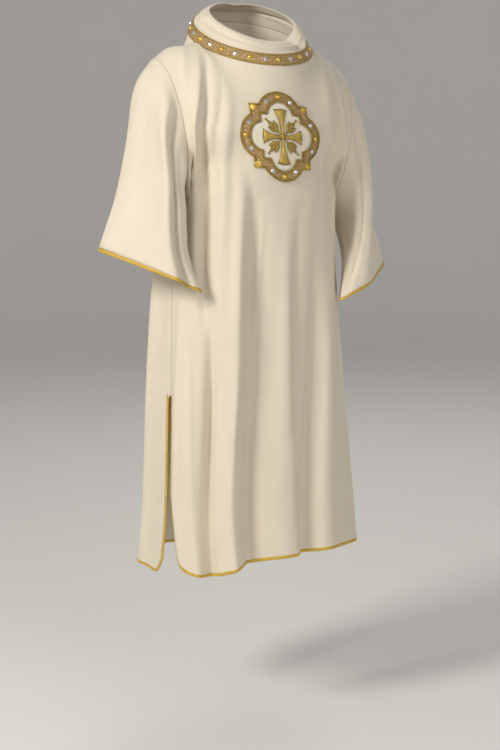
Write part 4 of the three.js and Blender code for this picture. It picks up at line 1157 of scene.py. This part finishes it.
def medal_turns(per_lobe):
    quarter = np.concatenate([np.linspace(45 - NOTCH, 45 + NOTCH, 7)[:-1],
                              np.linspace(45 + NOTCH, 135 - NOTCH, per_lobe)[:-1]])
    return np.radians(np.concatenate([quarter + start for start in (0, 90, 180, 270)]))


def build_frame(chest):
    """The brocade quatrefoil, fuller along its middle, with the paths of its two edge cords."""
    turns = medal_turns(40)
    shares = np.linspace(0, 1, 9)
    rows = []
    for share in shares:
        reach = mix(quatrefoil(INNER, turns), quatrefoil(OUTER, turns), share)
        top = 1.9 + 1.1 * math.sin(share * math.pi) ** 0.5
        rows.append([chest.ring(reach, turns, height)[0] for height in (top, 0.5)])
    outer = np.array([row[0] for row in rows])
    inner = np.array([row[1] for row in rows])
    piece = wall("medallion_frame_cloth", outer, inner, True)
    finish(piece, "metal_brocade", "brocade", "medallion_frame")
    paths, ways = [], []
    for shape, inset in ((OUTER, -0.8), (INNER, 0.6), (INNER, 4.4), (OUTER, -4.6)):
        spots, facing = chest.ring(quatrefoil(shape, turns) + inset, turns, ON_FRAME)
        paths.append(spots)
        ways.append(facing)
    return paths, ways


def build_field(chest):
    """The ivory ground inside the frame, a little padded."""
    turns = medal_turns(24)
    shares = np.array([1.0, 0.9, 0.75, 0.55, 0.35, 0.15])
    grids = []
    for lift in (0, -1.2):
        grids.append(np.array([
            chest.ring(quatrefoil(INNER, turns) * share, turns, 1.5 + lift + 0.8 * (1 - share))[0]
            for share in shares]))
    piece = wall("medallion_field_cloth", grids[0], grids[1], True)
    mesh = piece.data
    made = bmesh.new()
    made.from_mesh(mesh)
    edges = [edge for edge in made.edges if edge.is_boundary]
    if edges:
        bmesh.ops.holes_fill(made, edges=edges)
    made.to_mesh(mesh)
    made.free()
    set_uvs(mesh, point_places(mesh)[:, [0, 2]])
    finish(piece, "ribbed_silk", "weave", "medallion_field")


def padded_shape(outline, spine, crown):
    """A padded patch of satin stitch: rings from its outline in to its spine, crowned across."""
    rings = []
    for share in (1.0, 0.93, 0.75, 0.5, 0.2):
        rings.append((mix(spine, outline, share), crown * math.sqrt(1 - share ** 2) + 0.35))
    return rings


def patch_mesh(chest, shapes, base):
    """One mesh of many padded patches laid on the chest. UVs run along each patch."""
    points, faces, uvs, first = [], [], [], 0
    for outline, spine, crown in shapes:
        count = len(outline)
        rings = padded_shape(outline, spine, crown)
        direction = spine[-1] - spine[0] if np.ptp(spine, axis=0).max() > 1 else np.array([1.0, 0])
        direction = direction / max(np.linalg.norm(direction), 1e-6)
        for flat, height in [(outline, 0.0)] + rings:
            points.append(chest.lay(flat[:, 0], flat[:, 1], base + height)[0])
            uvs.append(np.stack([flat @ direction, flat @ np.array([-direction[1], direction[0]])], -1))
        for j in range(len(rings)):
            for i in range(count):
                k = (i + 1) % count
                faces.append((first + j * count + i, first + j * count + k,
                              first + (j + 1) * count + k, first + (j + 1) * count + i))
        faces.append(tuple(first + len(rings) * count + i for i in range(count)))
        faces.append(tuple(first + i for i in reversed(range(count))))
        first += (len(rings) + 1) * count
    return np.concatenate(points), faces, np.concatenate(uvs)


def turned(flat, angle):
    c, s = math.cos(angle), math.sin(angle)
    return flat @ np.array([[c, s], [-s, c]])


def leaf(length, width, bend):
    """The outline and spine of a leaf that starts at the origin and points up."""
    t = np.linspace(0, 1, 10)
    half = width / 2 * np.sin(t * math.pi) ** 0.8 * (1.15 - 0.3 * t)
    centre = np.stack([bend * t ** 2, length * t], -1)
    outline = np.concatenate([centre + np.stack([half, 0 * t], -1),
                              (centre - np.stack([half, 0 * t], -1))[::-1][1:-1]])
    back = np.concatenate([centre, centre[::-1][1:-1]])
    return outline, back


def arm(reach, waist, flare):
    """The outline and spine of one flared arm of the cross, pointing up."""
    t = np.linspace(0, 1, 9)
    half = waist + (flare - waist) * t ** 2.2
    up = 5 + (reach - 5) * t
    tip_x = np.linspace(half[-1], -half[-1], 7)[1:-1]
    tip = np.stack([tip_x, reach + 1.6 * np.cos(tip_x / half[-1] * QUARTER * 2)], -1)
    outline = np.concatenate([np.stack([half, up], -1), tip, np.stack([-half, up], -1)[::-1]])
    spine = np.stack([np.zeros(len(outline)), np.clip(outline[:, 1], 7, reach - 3)], -1)
    return outline, spine


def emblem_shapes():
    """A flared cross with a boss in its middle and a spray of leaves between each two arms."""
    shapes = []
    for k in range(4):
        outline, spine = arm(57 if k % 2 == 0 else 45, 3.4, 15)
        shapes.append((turned(outline, k * QUARTER), turned(spine, k * QUARTER), 3.4))
        for lean, start, length, width, bend in ((0, 12, 34, 11, 0), (0.66, 17, 22, 8.5, 4.5),
                                                 (-0.66, 17, 22, 8.5, -4.5)):
            outline, spine = leaf(length, width, bend)
            corner = QUARTER / 2 + k * QUARTER
            placed = [turned(turned(flat, lean) + [0, start], corner) for flat in (outline, spine)]
            shapes.append((*placed, 2.4))
    ring = np.linspace(0, 2 * math.pi, 20, endpoint=False)
    boss = np.stack([np.cos(ring), np.sin(ring)], -1)
    shapes.append((boss * 8.0, boss * 0.4, 4.2))
    for k in range(4):
        tip = turned(np.array([[0.0, 50.5]]), QUARTER / 2 + k * QUARTER)
        shapes.append((boss * 3.0 + tip, boss * 0.2 + tip, 1.8))
    return shapes


def build_emblem(chest):
    shapes = emblem_shapes()
    points, faces, uvs = patch_mesh(chest, shapes, 2.1)
    piece = new_piece("medallion_emblem_work", points, faces, uvs)
    finish(piece, "satin_stitch", "gold_thread", "medallion_emblem")
    outlines = [outline for outline, _, _ in shapes[:-4]]       # the four dots have no cord round them
    laid = [chest.lay(o[:, 0] * 1.02, o[:, 1] * 1.02, 2.5) for o in outlines]
    return [spots for spots, _ in laid], [ways for _, ways in laid]


def medal_spots(kind):
    """The studs on the frame: gold at each lobe's crown, silver on its sides, squares on the corners."""
    places = []
    for k in range(4):
        lobe = k * QUARTER
        centre = OUTER[1] * np.array([math.cos(lobe), math.sin(lobe)])
        if kind == "corner":
            turn = lobe + QUARTER / 2
            places.append(CORNER_STUD * math.sqrt(2) * np.array([math.cos(turn), math.sin(turn)]))
            continue
        for side in ((0,) if kind == "gold" else (-1, 1)):
            turn = lobe + side * math.radians(STUD_TURN)
            places.append(centre + STUD_RING * np.array([math.cos(turn), math.sin(turn)]))
    return np.array(places)


# ------------------------------------------------------------------------------ the stage
def build_stage(settings):
    """A pale round sweep under and about the garment, soft lights and the camera."""
    floor = CAD_BOX[0][2] - settings.floor_below
    bends = np.linspace(0, QUARTER, 12)
    profile = [(0.5, 0.0), (3.0, 0.0), (6.0, 0.0)]
    profile += [(6.5 + 2.5 * math.sin(t), 2.5 * (1 - math.cos(t))) for t in bends]
    profile += [(9.0, 5.0)]
    sides = 64
    turns = np.linspace(0, 2 * math.pi, sides, endpoint=False)
    points = [(r * math.cos(t), r * math.sin(t), floor + z) for r, z in profile for t in turns]
    faces = []
    for j in range(len(profile) - 1):
        low, high = sides * j, sides * (j + 1)
        faces += [(low + i, low + (i + 1) % sides, high + (i + 1) % sides, high + i) for i in range(sides)]
    faces.append(tuple(reversed(range(sides))))
    mesh = bpy.data.meshes.new("sweep")
    mesh.from_pydata(points, [], faces)
    mesh.polygons.foreach_set("use_smooth", [True] * len(mesh.polygons))
    mesh.flip_normals()
    sweep = new_object("sweep", mesh)
    sweep.data.materials.append(stage_material())

    middle = Vector((0, 0, -0.5))
    for name, azimuth, height, distance, size, power, color in (
            ("key", -72, 1.3, 3.4, 0.9, settings.key, (1.0, 0.95, 0.87)),
            ("fill", 5, 0.7, 4.4, 2.6, settings.fill, (1.0, 0.96, 0.90)),
            ("back", 140, 2.0, 3.4, 1.8, settings.rim, (1.0, 0.98, 0.95))):
        turn = math.radians(azimuth)
        light = bpy.data.lights.new(name, "AREA")
        light.size, light.energy, light.color = size, power, color
        lamp = new_object(name, light)
        lamp.location = (math.sin(turn) * distance, -math.cos(turn) * distance, height)
        lamp.rotation_euler = (middle - lamp.location).to_track_quat("-Z", "Y").to_euler()

    world = bpy.data.worlds.new("studio")
    world.use_nodes = True
    sky = world.node_tree.nodes["Background"]
    sky.inputs[0].default_value = (1.0, 0.985, 0.96, 1)
    sky.inputs[1].default_value = settings.ambient
    bpy.context.scene.world = world

    data = bpy.data.cameras.new("camera")
    data.lens = settings.lens
    data.sensor_width = 36.0
    data.clip_end = 50.0
    camera = new_object("camera", data)
    camera.location = CAMERA_PLACE
    camera.rotation_euler = Euler((QUARTER - math.radians(settings.pitch), 0, CAMERA_TURN), "XYZ")
    bpy.context.scene.camera = camera
    bpy.context.scene.view_settings.view_transform = "Standard"


# ------------------------------------------------------------------------------ settings
class DalmaticCloth(bpy.types.PropertyGroup):
    """The cloth's fineness and the colours of its finishes."""
    columns: IntProperty(name="Columns", description="Points across a body panel", default=170, min=40)
    rows: IntProperty(name="Rows", description="Points from the shoulder to the underarm", default=110,
                      min=40)
    turn_down: FloatProperty(name="Turn-down", description="How far the collar hangs inside, in mm",
                             default=20.0, min=5.0, max=40.0)
    wool: FloatVectorProperty(name="Wool", description="Colour of the ivory wool", subtype="COLOR",
                              default=(0.80, 0.725, 0.605))
    satin: FloatVectorProperty(name="Satin", description="Colour of the bindings", subtype="COLOR",
                               default=(0.80, 0.50, 0.035))
    brocade_gold: FloatVectorProperty(name="Brocade gold", description="Gold of the brocade",
                                      subtype="COLOR", default=(0.64, 0.47, 0.16))
    brocade_copper: FloatVectorProperty(name="Brocade copper", description="Copper of the brocade",
                                        subtype="COLOR", default=(0.84, 0.46, 0.34))
    field: FloatVectorProperty(name="Field", description="Ground of the medallion", subtype="COLOR",
                               default=(0.92, 0.86, 0.72))
    thread: FloatVectorProperty(name="Gold thread", description="Colour of the embroidery",
                                subtype="COLOR", default=(0.70, 0.48, 0.10))


class DalmaticStage(bpy.types.PropertyGroup):
    """The camera's lens and the strength of the lights."""
    lens: FloatProperty(name="Lens", description="Focal length", default=87.8, unit="CAMERA")
    pitch: FloatProperty(name="Pitch", description="Degrees that the camera looks down", default=8.55)
    floor_below: FloatProperty(name="Floor below hem", description="Height of the hem over the floor",
                               default=0.34, unit="LENGTH")
    key: FloatProperty(name="Key", description="Power of the key light", default=98.0, unit="POWER")
    fill: FloatProperty(name="Fill", description="Power of the fill light", default=42.0, unit="POWER")
    rim: FloatProperty(name="Rim", description="Power of the back light", default=30.0, unit="POWER")
    ambient: FloatProperty(name="Ambient", description="Strength of the surrounding light", default=0.34)


# ------------------------------------------------------------------------------ operators
class DALMATIC_OT_body(bpy.types.Operator):
    """Build the front and back panels"""
    bl_idname = "dalmatic.body"
    bl_label = "Body panels"

    def execute(self, context):
        sizes = context.scene.dalmatic_cloth
        make_materials(sizes)
        for name, facing in (("front_panel", -1), ("back_panel", 1)):
            build_panel(name, facing, sizes)
        return {"FINISHED"}


class DALMATIC_OT_sleeves(bpy.types.Operator):
    """Build the two sleeves"""
    bl_idname = "dalmatic.sleeves"
    bl_label = "Sleeves"

    def execute(self, context):
        sizes = context.scene.dalmatic_cloth
        for name, side in (("sleeve_right", -1), ("sleeve_left", 1)):
            build_sleeve(name, side, sizes)
        return {"FINISHED"}


class DALMATIC_OT_collar(bpy.types.Operator):
    """Build the folded collar"""
    bl_idname = "dalmatic.collar"
    bl_label = "Collar"

    def execute(self, context):
        build_collar(context.scene.dalmatic_cloth)
        return {"FINISHED"}


class DALMATIC_OT_bindings(bpy.types.Operator):
    """Build the satin bindings and their stitches"""
    bl_idname = "dalmatic.bindings"
    bl_label = "Bindings"

    def execute(self, context):
        open_paths, open_ways, round_paths, round_ways = [], [], [], []
        for name, facing in (("binding_front", -1), ("binding_back", 1)):
            piece, paths, ways = build_panel_binding(f"{name}_satin", facing)
            finish(piece, "gold_satin", "satin", name)
            open_paths += paths
            open_ways += ways
        for name, side in (("binding_cuff_right", -1), ("binding_cuff_left", 1)):
            piece, paths, ways = build_cuff_binding(f"{name}_satin", side)
            finish(piece, "gold_satin", "satin", name)
            round_paths += paths
            round_ways += ways
        for name, paths, ways, closed in (("hem_stitches", open_paths, open_ways, False),
                                          ("cuff_stitches", round_paths, round_ways, True)):
            piece = path_object(name, paths, ways, closed)
            grow(piece, "Beads", Pitch=0.0045, Length=0.003, Width=0.0007,
                 Material=bpy.data.materials["sewing_thread"])
            finish(piece, "sewing_thread", "satin")
        return {"FINISHED"}


class DALMATIC_OT_band(bpy.types.Operator):
    """Build the neck band, its edge cords and its studs"""
    bl_idname = "dalmatic.band"
    bl_label = "Neck band"

    def execute(self, context):
        edges, ways = build_band()
        cord = path_object("band_cords", edges, ways, True)
        grow(cord, "Beads", Pitch=0.0021, Length=0.0046, Width=0.0026, Turn=0.7,
             Material=bpy.data.materials["edge_cord"])
        finish(cord, "edge_cord", "gold_thread")
        nodes = [f"neck_stud_{k:02d}" for k in range(1, NECK_STUDS + 1)]
        for kind, own, sides, rings, smooth in (("gold", nodes[0::2], 18, 8, True),
                                                ("silver", nodes[1::2], 8, 4, False)):
            spots, facing, over = stud_spots(kind)
            piece = path_object(f"neck_studs_{kind}", [spots], [facing], None, [over])
            grow(piece, "Studs", Width=STUD_WIDTHS[kind], Height=0.0036,
                 Sides=sides, Rings=rings, Smooth=smooth,
                 Material=bpy.data.materials[f"{kind}_metal"])
            finish(piece, f"{kind}_metal", f"{kind}_stud", *own)
        return {"FINISHED"}


class DALMATIC_OT_medallion(bpy.types.Operator):
    """Build the medallion: frame, cords, field, embroidery and studs"""
    bl_idname = "dalmatic.medallion"
    bl_label = "Medallion"

    def execute(self, context):
        chest = Chest()
        paths, ways = build_frame(chest)
        cord = path_object("medallion_cords", paths, ways, True)
        grow(cord, "Beads", Pitch=0.0019, Length=0.0038, Width=0.0021, Turn=0.7,
             Material=bpy.data.materials["edge_cord"])
        finish(cord, "edge_cord", "gold_thread")
        build_field(chest)
        outlines, facing = build_emblem(chest)
        couching = path_object("couched_outline", outlines, facing, True)
        grow(couching, "Beads", Pitch=0.0013, Length=0.0022, Width=0.0013, Turn=0.6,
             Material=bpy.data.materials["couching"])
        finish(couching, "couching", "gold_thread")
        nodes = [f"medal_stud_{k:02d}" for k in range(1, 17)]
        owned = {"gold": nodes[1::4], "silver": nodes[0::4] + nodes[2::4], "corner": nodes[3::4]}
        for kind, sides, rings, metal in (("gold", 18, 8, "gold"), ("silver", 8, 4, "silver"),
                                          ("corner", 4, 2, "gold")):
            flat = medal_spots(kind)
            spots, out = chest.lay(flat[:, 0], flat[:, 1], ON_FRAME)
            beside = flat + [4, 4 if kind == "corner" else 0]
            side = chest.lay(beside[:, 0], beside[:, 1], ON_FRAME)[0] - spots
            piece = path_object(f"medal_studs_{kind}", [spots], [out], None, [side])
            grow(piece, "Studs", Width=STUD_WIDTHS[kind], Height=0.0034, Sides=sides, Rings=rings,
                 Smooth=kind == "gold", Material=bpy.data.materials[f"{metal}_metal"])
            finish(piece, f"{metal}_metal", f"{metal}_stud", *owned[kind])
        return {"FINISHED"}


class DALMATIC_OT_cut(bpy.types.Operator):
    """A step that does nothing"""
    bl_idname = "dalmatic.cut"
    bl_label = "Cut sizes"

    def execute(self, context):
        return {"FINISHED"}


class DALMATIC_OT_stage(bpy.types.Operator):
    """Build the floor, the lights and the camera"""
    bl_idname = "dalmatic.stage"
    bl_label = "Stage"

    def execute(self, context):
        build_stage(context.scene.dalmatic_stage)
        return {"FINISHED"}


OPERATORS = (DALMATIC_OT_body, DALMATIC_OT_sleeves, DALMATIC_OT_collar, DALMATIC_OT_bindings,
             DALMATIC_OT_band, DALMATIC_OT_medallion, DALMATIC_OT_cut, DALMATIC_OT_stage)


class DALMATIC_PT_panel(bpy.types.Panel):
    """The dalmatic's pieces and settings"""
    bl_label = "Dalmatic"
    bl_idname = "DALMATIC_PT_panel"
    bl_space_type = "VIEW_3D"
    bl_region_type = "UI"
    bl_category = "Dalmatic"

    def draw(self, context):
        for settings in (context.scene.dalmatic_cloth, context.scene.dalmatic_stage):
            for name in settings.__annotations__:
                self.layout.prop(settings, name)
        for operator in OPERATORS:
            self.layout.operator(operator.bl_idname)


CLASSES = (DalmaticCloth, DalmaticStage, *OPERATORS, DALMATIC_PT_panel)


def register():
    for kind in CLASSES:
        bpy.utils.register_class(kind)
    bpy.types.Scene.dalmatic_cloth = PointerProperty(type=DalmaticCloth)
    bpy.types.Scene.dalmatic_stage = PointerProperty(type=DalmaticStage)


def unregister():
    del bpy.types.Scene.dalmatic_stage
    del bpy.types.Scene.dalmatic_cloth
    for kind in reversed(CLASSES):
        bpy.utils.unregister_class(kind)


def main():
    register()
    for operator in OPERATORS:
        getattr(bpy.ops.dalmatic, operator.bl_idname.split(".")[1])()


if __name__ == "__main__":
    main()
